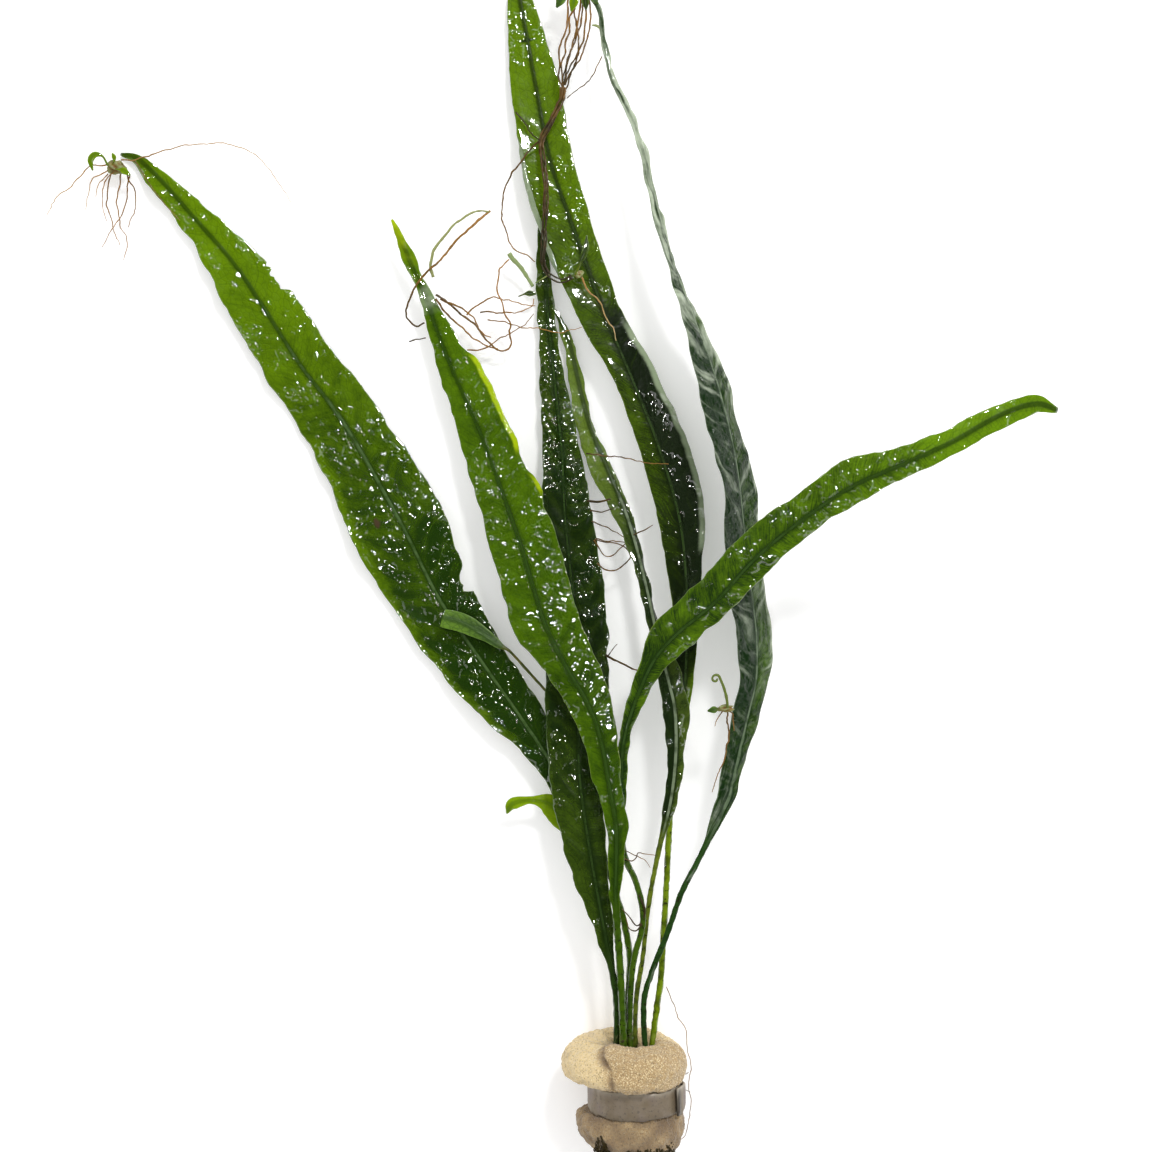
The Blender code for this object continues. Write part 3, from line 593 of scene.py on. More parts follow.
        # Pale streaks: a painted sheen, standing in for the white board's reflection in a steeply tilted wet blade.
        painted_sheen_mask = graph.math("MULTIPLY", graph.rise(streaks, 0.48, 0.68, 0.0, self.painted_sheen), blade)
        colour = graph.mix(painted_sheen_mask, colour, self.pale)
        mesh = graph.rise(graph.cells(graph.stretched(at, (0.7, 1.0, 1.0)), 1.3, "DISTANCE_TO_EDGE"), 0.0, 0.10, 1.0, 0.0)
        colour = graph.mix(graph.math("MULTIPLY", mesh, self.net), colour, self.deep)
        band = graph.math("MULTIPLY", graph.rise(from_rib, 0.45, 1.8, 0.62, 0.0), graph.rise(tone, 0.15, 0.6, 0.35, 1.0))
        colour = graph.mix(graph.math("MULTIPLY", band, blade), colour, self.deep)
        # Darker line along the midrib: partly the rib's own darker green, partly painted shade beside the raised rib.
        dark_rib_and_shade = graph.math("MULTIPLY", graph.rise(from_rib, 0.30, 0.85, 0.7, 0.0), blade)
        colour = graph.mix(dark_rib_and_shade, colour, self.deep)
        # Paler midrib: partly the rib's own paler colour, partly a painted highlight along the raised rib.
        pale_rib_and_highlight = graph.math("MULTIPLY", graph.rise(from_rib, 0.5 * self.rib_wide, self.rib_wide, self.rib_shown, 0.0), blade)
        pale_rib_and_highlight = graph.math("MULTIPLY", pale_rib_and_highlight, graph.rise(tone, 0.22, 0.60))
        pale_rib_and_highlight = graph.math("MULTIPLY", pale_rib_and_highlight, graph.rise(mottle, 0.34, 0.56, 0.35, 1.0))
        colour = graph.mix(pale_rib_and_highlight, colour, self.rib)
        # Brighter margin: painted light, as light showing through the thin wet edge.
        rim = graph.math("MULTIPLY", graph.rise(to_edge, 0.02, 0.30, self.rim_glow_shown, 0.0), blade)
        rim = graph.math("MULTIPLY", rim, graph.rise(cloud, 0.38, 0.62, 0.1, 1.0))
        colour = graph.mix(rim, colour, self.rim)
        bark = graph.mix(graph.rise(mottle, 0.40, 0.66, 0.0, 0.6), self.stem, self.deep)
        bark = graph.mix(graph.rise(graph.noise(place, 1.0, 1.0), 0.62, 0.72, 0.0, 0.85), bark, self.scale)
        colour = graph.mix(graph.value("stem"), colour, bark)
        underside = graph.mix(graph.math("MULTIPLY", vein, 0.5), self.under, self.stem)
        underside = graph.mix(graph.math("MULTIPLY", mottle, 0.3), underside, self.bright)
        colour = graph.mix(graph.value("under"), colour, underside)
        for mark, tint in (("yellow", self.yellow), ("pale", self.pale), ("brown", self.brown)):
            edge = graph.math("MULTIPLY_ADD", graph.math("SUBTRACT", mottle, 0.5), 0.5, graph.value(mark))
            # Where the streak value is set, the pale mark's edge follows the streaks of the painted sheen.
            if mark == "pale":
                edge = graph.math("MULTIPLY_ADD", graph.math("SUBTRACT", streaks, 0.5), self.sheen_streak, edge)
            colour = graph.mix(graph.rise(edge, 0.15, 0.85), colour, tint)
        return colour

    def heights(self, graph: NodeGraph, at: Socket, place: Socket) -> tuple[Socket, Socket]:
        """The water film's ripples, gathered in patches, and the leaf's own fine relief.

        Args:
            graph: The material's graph.
            at: Place on the leaf: along it and across it.
            place: Place in space, in millimetres.

        Returns:
            The film's height and the skin's height, in millimetres.
        """
        gate = graph.math("MULTIPLY_ADD", graph.value("wet"), 0.24, graph.noise(place, 4.6, 2.0, 0.6))
        patches = graph.math("MULTIPLY", graph.rise(gate, 0.60, 0.72, 0.04, 1.0), graph.rise(graph.value("from_rib"), 0.3, 1.1))
        beads = graph.noise(graph.stretched(at, (1.0, 0.6, 1.0)), self.bead, 1.3, 0.38)
        wet = graph.math("MULTIPLY", graph.math("MULTIPLY", beads, self.ripple * 1.35 * self.bead), patches)
        net = graph.cells(graph.stretched(at, (0.7, 1.0, 1.0)), 1.3, "DISTANCE_TO_EDGE")
        fine = graph.math("MULTIPLY", graph.rise(net, 0.0, 0.25), 0.03)
        grain = graph.noise(place, 0.35, 1.0)
        return wet, graph.math("MULTIPLY_ADD", grain, 0.02, fine)


@dataclass(frozen=True)
class RootFinish:
    """A thin root: amber where it is young, dark brown where it is old, with a wet skin."""

    name: str = "root_skin"
    young: Colour = (0.34, 0.160, 0.028)
    old: Colour = (0.036, 0.025, 0.007)
    tip: Colour = (0.52, 0.38, 0.19)
    green: Colour = (0.24, 0.31, 0.12)
    roughness: float = 0.42

    def material(self) -> bpy.types.Material:
        """The root's material."""
        graph = NodeGraph(self.name)
        place = graph.stretched(graph.place(), (1 / MM, 1 / MM, 1 / MM))
        blotch = graph.noise(place, 2.5, 3.0)
        age = graph.math("MULTIPLY_ADD", graph.math("SUBTRACT", blotch, 0.5), 0.8, graph.value("ripe"))
        colour = graph.mix(graph.rise(age, 0.0, 1.0), self.young, self.old)
        colour = graph.mix(graph.value("green"), colour, self.green)
        colour = graph.mix(graph.value("fade"), colour, self.tip)
        relief = graph.bump(graph.math("MULTIPLY", graph.noise(place, 0.4, 2.0), 0.10))
        return graph.finish(
            Base_Color=colour, Roughness=self.roughness, Normal=relief, Specular_IOR_Level=0.15,
            Coat_Weight=0.06, Coat_Roughness=0.15,
        )


@dataclass(frozen=True)
class FoamFinish:
    """Open-celled beige foam: bright walls round small pits darkened with painted shade, browner and darker where its
    darkening value is high, which includes painted shade in the seam's crease.
    """

    name: str = "foam_cells"
    wall: Colour = (0.40, 0.27, 0.12)
    cream: Colour = (0.67, 0.51, 0.26)
    bright: Colour = (0.78, 0.64, 0.39)
    pore_shade: Colour = (0.20, 0.12, 0.045)
    darkening: Colour = (0.17, 0.11, 0.055)

    def material(self) -> bpy.types.Material:
        """The foam's material."""
        graph = NodeGraph(self.name)
        place = graph.stretched(graph.place(), (1 / MM, 1 / MM, 1 / MM))
        cell = graph.cells(place, 0.55)
        grain = graph.noise(place, 0.32, 2.0)
        cloud = graph.noise(place, 5.0, 3.0)
        darkening = graph.value("darkening")
        colour = graph.mix(graph.rise(graph.math("MULTIPLY_ADD", cloud, 0.3, graph.value("cream")), 0.1, 1.1), self.wall, self.cream)
        colour = graph.mix(graph.rise(grain, 0.50, 0.66, 0.0, 0.95), colour, self.bright)
        # Dark pits: painted shade inside the foam's pores.
        colour = graph.mix(graph.rise(cell, 0.08, 0.40, 0.75, 0.0), colour, self.pore_shade)
        # Browner and darker where the darkening value is high; in the seam's crease this is painted shade.
        darkened = graph.math("MULTIPLY_ADD", graph.math("SUBTRACT", cloud, 0.5), 0.9, darkening)
        darkened = graph.math("MULTIPLY_ADD", graph.math("SUBTRACT", grain, 0.5), 0.8, darkened)
        colour = graph.mix(graph.rise(darkened, 0.15, 1.25), colour, self.darkening)
        height = graph.math("MULTIPLY_ADD", graph.rise(cell, 0.0, 0.5), 0.16, graph.math("MULTIPLY", grain, 0.20))
        return graph.finish(Base_Color=colour, Roughness=0.88, Normal=graph.bump(height), Sheen_Weight=0.25)


@dataclass(frozen=True)
class StripFinish:
    """Soft dull metal that has been bent by hand: cloudy grey with scratches along the band."""

    name: str = "dull_lead"
    grey: Colour = (0.195, 0.150, 0.095)
    dark: Colour = (0.060, 0.055, 0.050)
    bloom: Colour = (0.225, 0.180, 0.130)
    violet: Colour = (0.185, 0.140, 0.130)
    pale: Colour = (0.48, 0.44, 0.36)

    def material(self) -> bpy.types.Material:
        """The strip's material."""
        graph = NodeGraph(self.name)
        place = graph.stretched(graph.place(), (1 / MM, 1 / MM, 1 / MM))
        cloud = graph.noise(place, 4.5, 4.0)
        speck = graph.noise(place, 0.7, 3.0)
        scratch = graph.noise(graph.stretched(graph.vector("band_at"), (0.06, 1.0, 1.0)), 0.35, 2.0)
        colour = graph.mix(graph.rise(cloud, 0.35, 0.65), self.grey, self.bloom)
        colour = graph.mix(graph.rise(graph.noise(place, 9.0, 1.0), 0.5, 0.62, 0.0, 0.6), colour, self.violet)
        colour = graph.mix(graph.rise(speck, 0.55, 0.75, 0.0, 0.7), colour, self.dark)
        # The band's edge away from the light is darkened as painted shade, and its outer end is darker.
        colour = graph.mix(graph.math("MULTIPLY", graph.value("dark"), 0.8), colour, self.dark)
        # The edge that faces the light is paled as a painted highlight.
        colour = graph.mix(graph.math("MULTIPLY", graph.value("edge"), 0.7), colour, self.pale)
        rough = graph.math("MULTIPLY_ADD", cloud, 0.35, 0.30)
        height = graph.math("ADD", graph.math("MULTIPLY", scratch, 0.05), graph.math("MULTIPLY", speck, 0.06))
        return graph.finish(Base_Color=colour, Roughness=rough, Metallic=0.2, Normal=graph.bump(height))


@dataclass(frozen=True)
class BarkFinish:
    """The creeping stem's dark scaly skin."""

    name: str = "rhizome_skin"

    def material(self) -> bpy.types.Material:
        """The stem's material."""
        graph = NodeGraph(self.name)
        place = graph.stretched(graph.place(), (1 / MM, 1 / MM, 1 / MM))
        scale = graph.cells(place, 1.1)
        colour = graph.mix(graph.rise(scale, 0.1, 0.6), (0.030, 0.020, 0.010), (0.11, 0.08, 0.035))
        height = graph.math("MULTIPLY", scale, 0.4)
        return graph.finish(Base_Color=colour, Roughness=0.7, Normal=graph.bump(height))


@dataclass(frozen=True)
class BoardFinish:
    """The plain pale board that the bunch lies on."""

    name: str = "pale_board"
    glow: float = 0.22

    def material(self) -> bpy.types.Material:
        """The board's material."""
        graph = NodeGraph(self.name)
        place = graph.stretched(graph.place(), (1 / MM, 1 / MM, 1 / MM))
        colour = graph.mix(graph.noise(place, 60.0, 2.0), (0.86, 0.855, 0.855), (0.90, 0.895, 0.89))
        return graph.finish(
            Base_Color=colour, Roughness=0.65, Specular_IOR_Level=0.2,
            Emission_Color=(1.0, 1.0, 1.0), Emission_Strength=self.glow,
        )


@dataclass(frozen=True)
class Hem:
    """A stretch of a margin that is turned up (positive degrees) or down, beyond the blade's outline."""

    side: Side
    start: float
    end: float
    width: float
    degrees: float
    ramp: float = 0.02


@dataclass(frozen=True)
class Nick:
    """A bite out of a margin, at a share of the length, with its half length and depth."""

    side: Side
    share: float
    half: float
    depth: float
    power: float = 2.0


@dataclass(frozen=True)
class Band:
    """A tinted band along a margin, of a width in from it."""

    side: Side
    start: float
    end: float
    width: float
    tint: Tint
    strength: float = 1.0


@dataclass(frozen=True)
class Spot:
    """A tinted spot: share of the length, place across (+ left, as a share of the half width), half sizes."""

    share: float
    across: float
    length: float
    width: float
    tint: Tint
    strength: float = 1.0


@dataclass
class Frond:
    """A strap frond: a round stalk that widens into a quilted blade with a raised midrib.

    The blade's rows hold a share of the length, left and right half width, and left and right lift in
    degrees. The tone's rows hold a share, how deep the green is on the left and on the right, and how
    yellow and how pale the leaf is. The wet rows hold a share and how beaded the left and right halves are.
    """

    name: str
    slot: str
    finish: LeafFinish
    stalk: float
    blade_from: float
    rib: list[Point]
    blade: list[tuple[float, ...]]
    tone: list[tuple[float, ...]]
    seed: int
    quilt: float = 0.35
    ruffle: float = 0.5
    ruffle_length: float = 11.0
    sag: float = 0.0
    twist: float = 5.0
    rib_high: float = 0.20
    rib_low: float = 0.75
    wander: float = 0.22
    wet: list[tuple[float, float, float]] = field(default_factory=lambda: [(0.0, 0.4, 0.4), (1.0, 0.4, 0.4)])
    hems: list[Hem] = field(default_factory=list)
    nicks: list[Nick] = field(default_factory=list)
    bands: list[Band] = field(default_factory=list)
    spots: list[Spot] = field(default_factory=list)
    ring_step: float = 0.7
    widening: float = 12.0
    replaces: bool = True

    COLUMNS = np.array(
        [0, 0.035, 0.075, 0.13, 0.2, 0.28, 0.36, 0.44, 0.52, 0.6, 0.68, 0.75, 0.8, 0.85, 0.88, 0.91, 0.94, 0.97, 1.0]
    )
    CARRIED = ("vein_at", "dome", "to_edge", "wet", "deep", "yellow", "pale", "brown")
    HEM_FROM = 0.8
    THICK_MIDDLE = 0.5
    THICK_MARGIN = 0.2
    TIP_LENGTH = 9.0

    def half_width(self, side: Side, share: Array, along: Array, length: float, rows: Array, blade: Array) -> Array:
        """One half's width at each ring, with its small irregularities and bites.

        Args:
            side: Which half.
            share: Share of the length at each ring.
            along: Distance from the foot at each ring.
            length: Length of the frond.
            rows: The blade's table, read at each ring.
            blade: How far each ring is blade and not stalk or tip.

        Returns:
            The half width at each ring.
        """
        wide = rows[:, 0 if side is Side.LEFT else 1].copy()
        offset = 31 * self.seed + (7 if side is Side.LEFT else 0)
        wide += self.wander * blade * SmoothNoise(offset, 7.5).at(along)
        wide += 0.35 * self.wander * blade * SmoothNoise(offset + 1, 2.6).at(along)
        for nick in self.nicks:
            if nick.side is side:
                away = np.abs(share - nick.share) * length / nick.half
                wide -= nick.depth * np.clip(1.0 - away**nick.power, 0.0, 1.0)
        return np.maximum(wide, 0.12)

    def half_section(self, side: Side, share: Array, along: Array, wide: Array, lift: Array, blade: Array) -> dict[str, Array]:
        """One half of the blade, from the midrib out to the margin.

        Args:
            side: Which half.
            share: Share of the length at each ring.
            along: Distance from the foot at each ring.
            wide: Half width at each ring.
            lift: Lift of the half at each ring, in degrees.
            blade: How far each ring is blade.

        Returns:
            Offsets out and up of the upper and lower faces, and the values that the material reads.
        """
        w = self.COLUMNS
        offset = 57 * self.seed + (11 if side is Side.LEFT else 0)
        lean = lift + self.twist * blade * SmoothNoise(offset, 34.0).at(along)
        middle = 0.5 * (w[1:] + w[:-1])
        outer = np.clip((middle - self.HEM_FROM) / (1.0 - self.HEM_FROM), 0.0, 1.0)
        step = wide[:, None] * np.diff(w)[None, :]
        angle = lean[:, None] + self.sag * blade[:, None] * (middle - 0.5)[None, :]
        for hem in self.hems:
            if hem.side is side:
                share_turned = window(hem.start, hem.end, hem.ramp, share)[:, None]
                inner = 1.0 + share_turned * (1.0 / self.HEM_FROM - 1.0)
                hemmed = hem.width * np.diff(w)[None, :] / (1.0 - self.HEM_FROM)
                step = np.where(middle < self.HEM_FROM, step * inner, (1 - share_turned) * step + share_turned * hemmed)
                angle = angle + share_turned * hem.degrees * smooth_step(0.0, 0.75, outer)[None, :]
        angle = np.radians(angle)
        zero = np.zeros((len(share), 1))
        out = np.hstack([zero, np.cumsum(step * np.cos(angle), axis=1)])
        rise = np.hstack([zero, np.cumsum(step * np.sin(angle), axis=1)])
        reach = np.hstack([zero, np.cumsum(step, axis=1)])
        turned = np.hstack([angle[:, :1], 0.5 * (angle[:, 1:] + angle[:, :-1]), angle[:, -1:]])
        slip = 0.45 * SmoothNoise(offset + 2, 19.0).at(along)[:, None] + 0.16 * SmoothNoise(offset + 3, 8.0).at(reach)
        forward = 0.55 * reach + 0.22 * reach * w[None, :]
        vein_at = (along[:, None] - forward) / self.finish.vein_gap + slip + (0.5 if side is Side.LEFT else 0.0)
        between = np.sin(pi * (vein_at % 1.0))
        dome = between**1.1 * smooth_step(0.03, 0.2, w)[None, :] * (1 - smooth_step(0.78, 1.0, w))[None, :]
        lumps = 0.6 + 0.55 * SmoothNoise(offset + 4, 9.0).at(along[:, None], reach)
        flutter = SmoothNoise(offset + 5, self.ruffle_length).at(along)[:, None] * (w**2.6)[None, :]
        height = blade[:, None] * (self.quilt * dome * lumps + self.ruffle * flutter)
        thick = self.THICK_MARGIN + (self.THICK_MIDDLE - self.THICK_MARGIN) * (1 - w)[None, :] ** 0.6
        near_rib = np.exp(-((reach / 0.60) ** 2))
        under_rib = np.exp(-((reach / 0.75) ** 2))
        upper = height + 0.5 * thick + self.rib_high * near_rib
        lower = height - 0.5 * thick - self.rib_low * under_rib
        upper[:, -1] = lower[:, -1] = height[:, -1]
        return {
            "upper_out": out - np.sin(turned) * upper,
            "upper_rise": rise + np.cos(turned) * upper,
            "lower_out": out - np.sin(turned) * lower,
            "lower_rise": rise + np.cos(turned) * lower,
            "vein_at": vein_at,
            "dome": dome * blade[:, None],
            "reach": reach,
            "to_edge": reach[:, -1:] - reach,
        }

    def marks(self, side: Side, share: Array, length: float, half: dict[str, Array]) -> dict[str, Array]:
        """How deep, yellow, pale and brown one half of the blade is.

        Args:
            side: Which half.
            share: Share of the length at each ring.
            length: Length of the frond.
            half: The half section.

        Returns:
            The four values, for each ring and column.
        """
        rows = read_rows(self.tone, share)
        shape = half["reach"].shape
        deep = np.broadcast_to(rows[:, 0 if side is Side.LEFT else 1][:, None], shape).copy()
        wet = read_rows(self.wet, share)[:, 0 if side is Side.LEFT else 1]
        values = {
            "wet": np.broadcast_to(wet[:, None], shape).copy(),
            "deep": deep,
            "yellow": np.broadcast_to(rows[:, 2][:, None], shape).copy(),
            "pale": np.broadcast_to(rows[:, 3][:, None], shape).copy(),
            "brown": np.zeros(shape),
        }
        for band in self.bands:
            if band.side is side:
                mask = window(band.start, band.end, 0.03, share)[:, None]
                mask = band.strength * mask * (1 - smooth_step(0.35 * band.width, band.width, half["to_edge"]))
                self.stain(values, band.tint, mask)
        for spot in self.spots:
            across = half["reach"] * side.value - spot.across * half["reach"][:, -1:]
            away = np.hypot((share[:, None] - spot.share) * length / spot.length, across / spot.width)
            self.stain(values, spot.tint, spot.strength * (1 - smooth_step(0.45, 1.0, away)))
        return values

    @staticmethod
    def stain(values: dict[str, Array], tint: Tint, mask: Array) -> None:
        """Lays one tint over the values where its mask says so. A brown blemish also stays dull."""
        if tint is Tint.BRIGHT:
            values["deep"] *= 1 - mask
        else:
            values[tint.value] = np.maximum(values[tint.value], mask)
        if tint is Tint.BROWN:
            values["wet"] -= DRIED * mask

    def build(self) -> bpy.types.Object:
        """The frond as one closed shell in its wet finish."""
        count = round(smooth_path(self.rib, 2)[1] / self.ring_step) + 1
        path, length = smooth_path(self.rib, count)
        share = np.linspace(0.0, 1.0, count)
        along = share * length
        rows = read_rows(self.blade, share)
        left, up = frames_along(path)
        flat = smooth_step(0.0, 1.0, (share - self.blade_from) * length / self.widening)
        tip = np.clip((1.0 - share) * length / self.TIP_LENGTH, 0.08, 1.0) ** 0.6
        blade = flat * tip
        halves = {}
        for side in Side:
            wide = self.half_width(side, share, along, length, rows, blade)
            lift = rows[:, 2 if side is Side.LEFT else 3]
            half = self.half_section(side, share, along, wide, lift, blade)
            half.update(self.marks(side, share, length, half))
            halves[side] = half
        grid, values = self.wrap(path, left, up, flat, tip, halves)
        values["leaf_at"] = np.stack([np.broadcast_to(along[:, None], values["under"].shape), values.pop("across"),
                                      np.full(values["under"].shape, 10.0 * self.seed)], axis=-1)
        grid[:, :, 2] = np.maximum(grid[:, :, 2], SURFACE_CLEARANCE)
        draft = MeshDraft()
        draft.add_grid(grid, values)
        nodes = (self.name,) if self.replaces else ()
        name = f"{self.name}_leaf"
        return draft.build(name, self.finish.material(), self.slot, nodes)

    def wrap(self, path: Array, left: Array, up: Array, flat: Array, tip: Array,
             halves: dict[Side, dict[str, Array]]) -> tuple[Array, dict[str, Array]]:
        """Joins both halves' upper and lower faces into rings, round where the frond is still stalk.

        Args:
            path: The midrib's points.
            left: Left direction at each point.
            up: Up direction at each point.
            flat: How far each ring is blade.
            tip: How full each ring still is, towards the tip.
            halves: Both half sections.

        Returns:
            The rings' points, and the values per point.
        """
        lefty, righty = halves[Side.LEFT], halves[Side.RIGHT]

        def round_trip(key_upper: str, key_lower: str, sign: float) -> Array:
            """One value read over the top from left margin to right, and back underneath."""
            top = np.hstack([lefty[key_upper][:, :0:-1], lefty[key_upper][:, :1], sign * righty[key_upper][:, 1:]])
            below = np.hstack([sign * righty[key_lower][:, -2:0:-1], lefty[key_lower][:, :1], lefty[key_lower][:, 1:-1]])
            return np.hstack([top, below])

        w = self.COLUMNS
        quarter = 0.5 * pi * (1 - w)
        top_angle = np.concatenate([quarter[:0:-1], [0.5 * pi], pi - quarter[1:]])
        low_angle = np.concatenate([pi + quarter[-2:0:-1], [1.5 * pi], 2 * pi - quarter[1:-1]])
        angle = np.concatenate([top_angle, low_angle])
        around = np.arange(len(angle)) * (2 * pi / len(angle))
        along = np.arange(len(path)) * self.ring_step
        knobs = SmoothNoise(71 * self.seed, 2.4).at(along[:, None], 1.6 * np.cos(around), 1.6 * np.sin(around))
        radius = (self.stalk * tip)[:, None] * (1 + 0.10 * knobs)
        share_flat = flat[:, None]
        across = share_flat * round_trip("upper_out", "lower_out", -1.0) + (1 - share_flat) * radius * np.cos(angle)
        rise = share_flat * round_trip("upper_rise", "lower_rise", 1.0) + (1 - share_flat) * radius * np.sin(angle)
        grid = path[:, None, :] + left[:, None, :] * across[:, :, None] + up[:, None, :] * rise[:, :, None]
        columns = len(angle)
        under = np.zeros(columns)
        under[len(top_angle):] = 1.0
        under[0] = under[len(top_angle) - 1] = 0.4
        values = {key: round_trip(key, key, 1.0) for key in self.CARRIED}
        values["across"] = round_trip("reach", "reach", -1.0)
        values["from_rib"] = np.abs(values["across"])
        values["under"] = np.broadcast_to(under[None, :], across.shape) * share_flat
        values["stem"] = np.broadcast_to(1 - share_flat, across.shape).copy()
        return grid, values


@dataclass(frozen=True)
class Strand:
    """One root: its points, its radius at both ends, and its look.

    ripe is how old and dark it is at its start and end, green how green, and fade how pale its end is.
    """

    points: list[Point]
    radius: float = 0.22
    tip: float = 0.10
    ripe: tuple[float, float] = (0.6, 0.3)
    green: float = 0.0
    fade: float = 0.0
    wave: float = 0.35
    wave_length: float = 7.0
    seed: int = 1
    sides: int = 7
    step: float = 0.45

    def route(self) -> Array:
        """The root's path, with the small wander that real roots have."""
        count = max(6, round(smooth_path(self.points, 2)[1] / self.step) + 1)
        path, length = smooth_path(self.points, count)
        along = np.linspace(0.0, length, count)
        hold = np.clip(along / 3.0, 0.0, 1.0) * np.clip((length - along) / 3.0, 0.15, 1.0)
        for axis in range(3):
            size = self.wave * (0.6 if axis == 2 else 1.0)
            path[:, axis] += size * hold * SmoothNoise(self.seed * 13 + axis, self.wave_length).at(along)
            path[:, axis] += 0.3 * size * hold * SmoothNoise(self.seed * 17 + axis, 0.3 * self.wave_length).at(along)
        return path

    def add_to(self, draft: MeshDraft) -> None:
        """Adds the root to a draft as a tapered tube that keeps off the surface."""
        path = self.route()
        share = np.linspace(0.0, 1.0, len(path))
        radius = self.radius + (self.tip - self.radius) * share
        radius = radius * (1 + 0.12 * SmoothNoise(self.seed * 19, 1.6).at(share * len(path) * self.step))
        path[:, 2] = np.maximum(path[:, 2], radius + SURFACE_CLEARANCE)
        tangent = np.gradient(path, axis=0)
        tangent /= np.maximum(np.linalg.norm(tangent, axis=1), 1e-9)[:, None]
        across = np.zeros_like(path)
        side = np.cross(tangent[0], (0.3, 0.2, 1.0))
        for index, ahead in enumerate(tangent):
            side = side - ahead * np.dot(side, ahead)
            side /= np.linalg.norm(side)
            across[index] = side
        other = np.cross(tangent, across)
        turn = np.linspace(0, 2 * pi, self.sides, endpoint=False)
        grid = (
            path[:, None, :]
            + across[:, None, :] * (radius[:, None] * np.cos(turn))[:, :, None]
            + other[:, None, :] * (radius[:, None] * np.sin(turn))[:, :, None]
        )
        shape = grid.shape[:2]
        ripe = self.ripe[0] + (self.ripe[1] - self.ripe[0]) * share
        draft.add_grid(
            grid,
            {
                "ripe": np.broadcast_to(ripe[:, None], shape).copy(),
                "green": np.full(shape, self.green),
                "fade": np.broadcast_to((self.fade * share)[:, None], shape).copy(),
            },
        )


@dataclass
class RootGroup:
    """Roots that make one piece."""

    name: str
    strands: list[Strand]
    replaces: tuple[str, ...] = ()
    finish: RootFinish = RootFinish()

    def build(self) -> bpy.types.Object:
        """The roots as one object."""
        draft = MeshDraft()
        for strand in self.strands:
            strand.add_to(draft)
        return draft.build(self.name, self.finish.material(), "root", self.replaces)


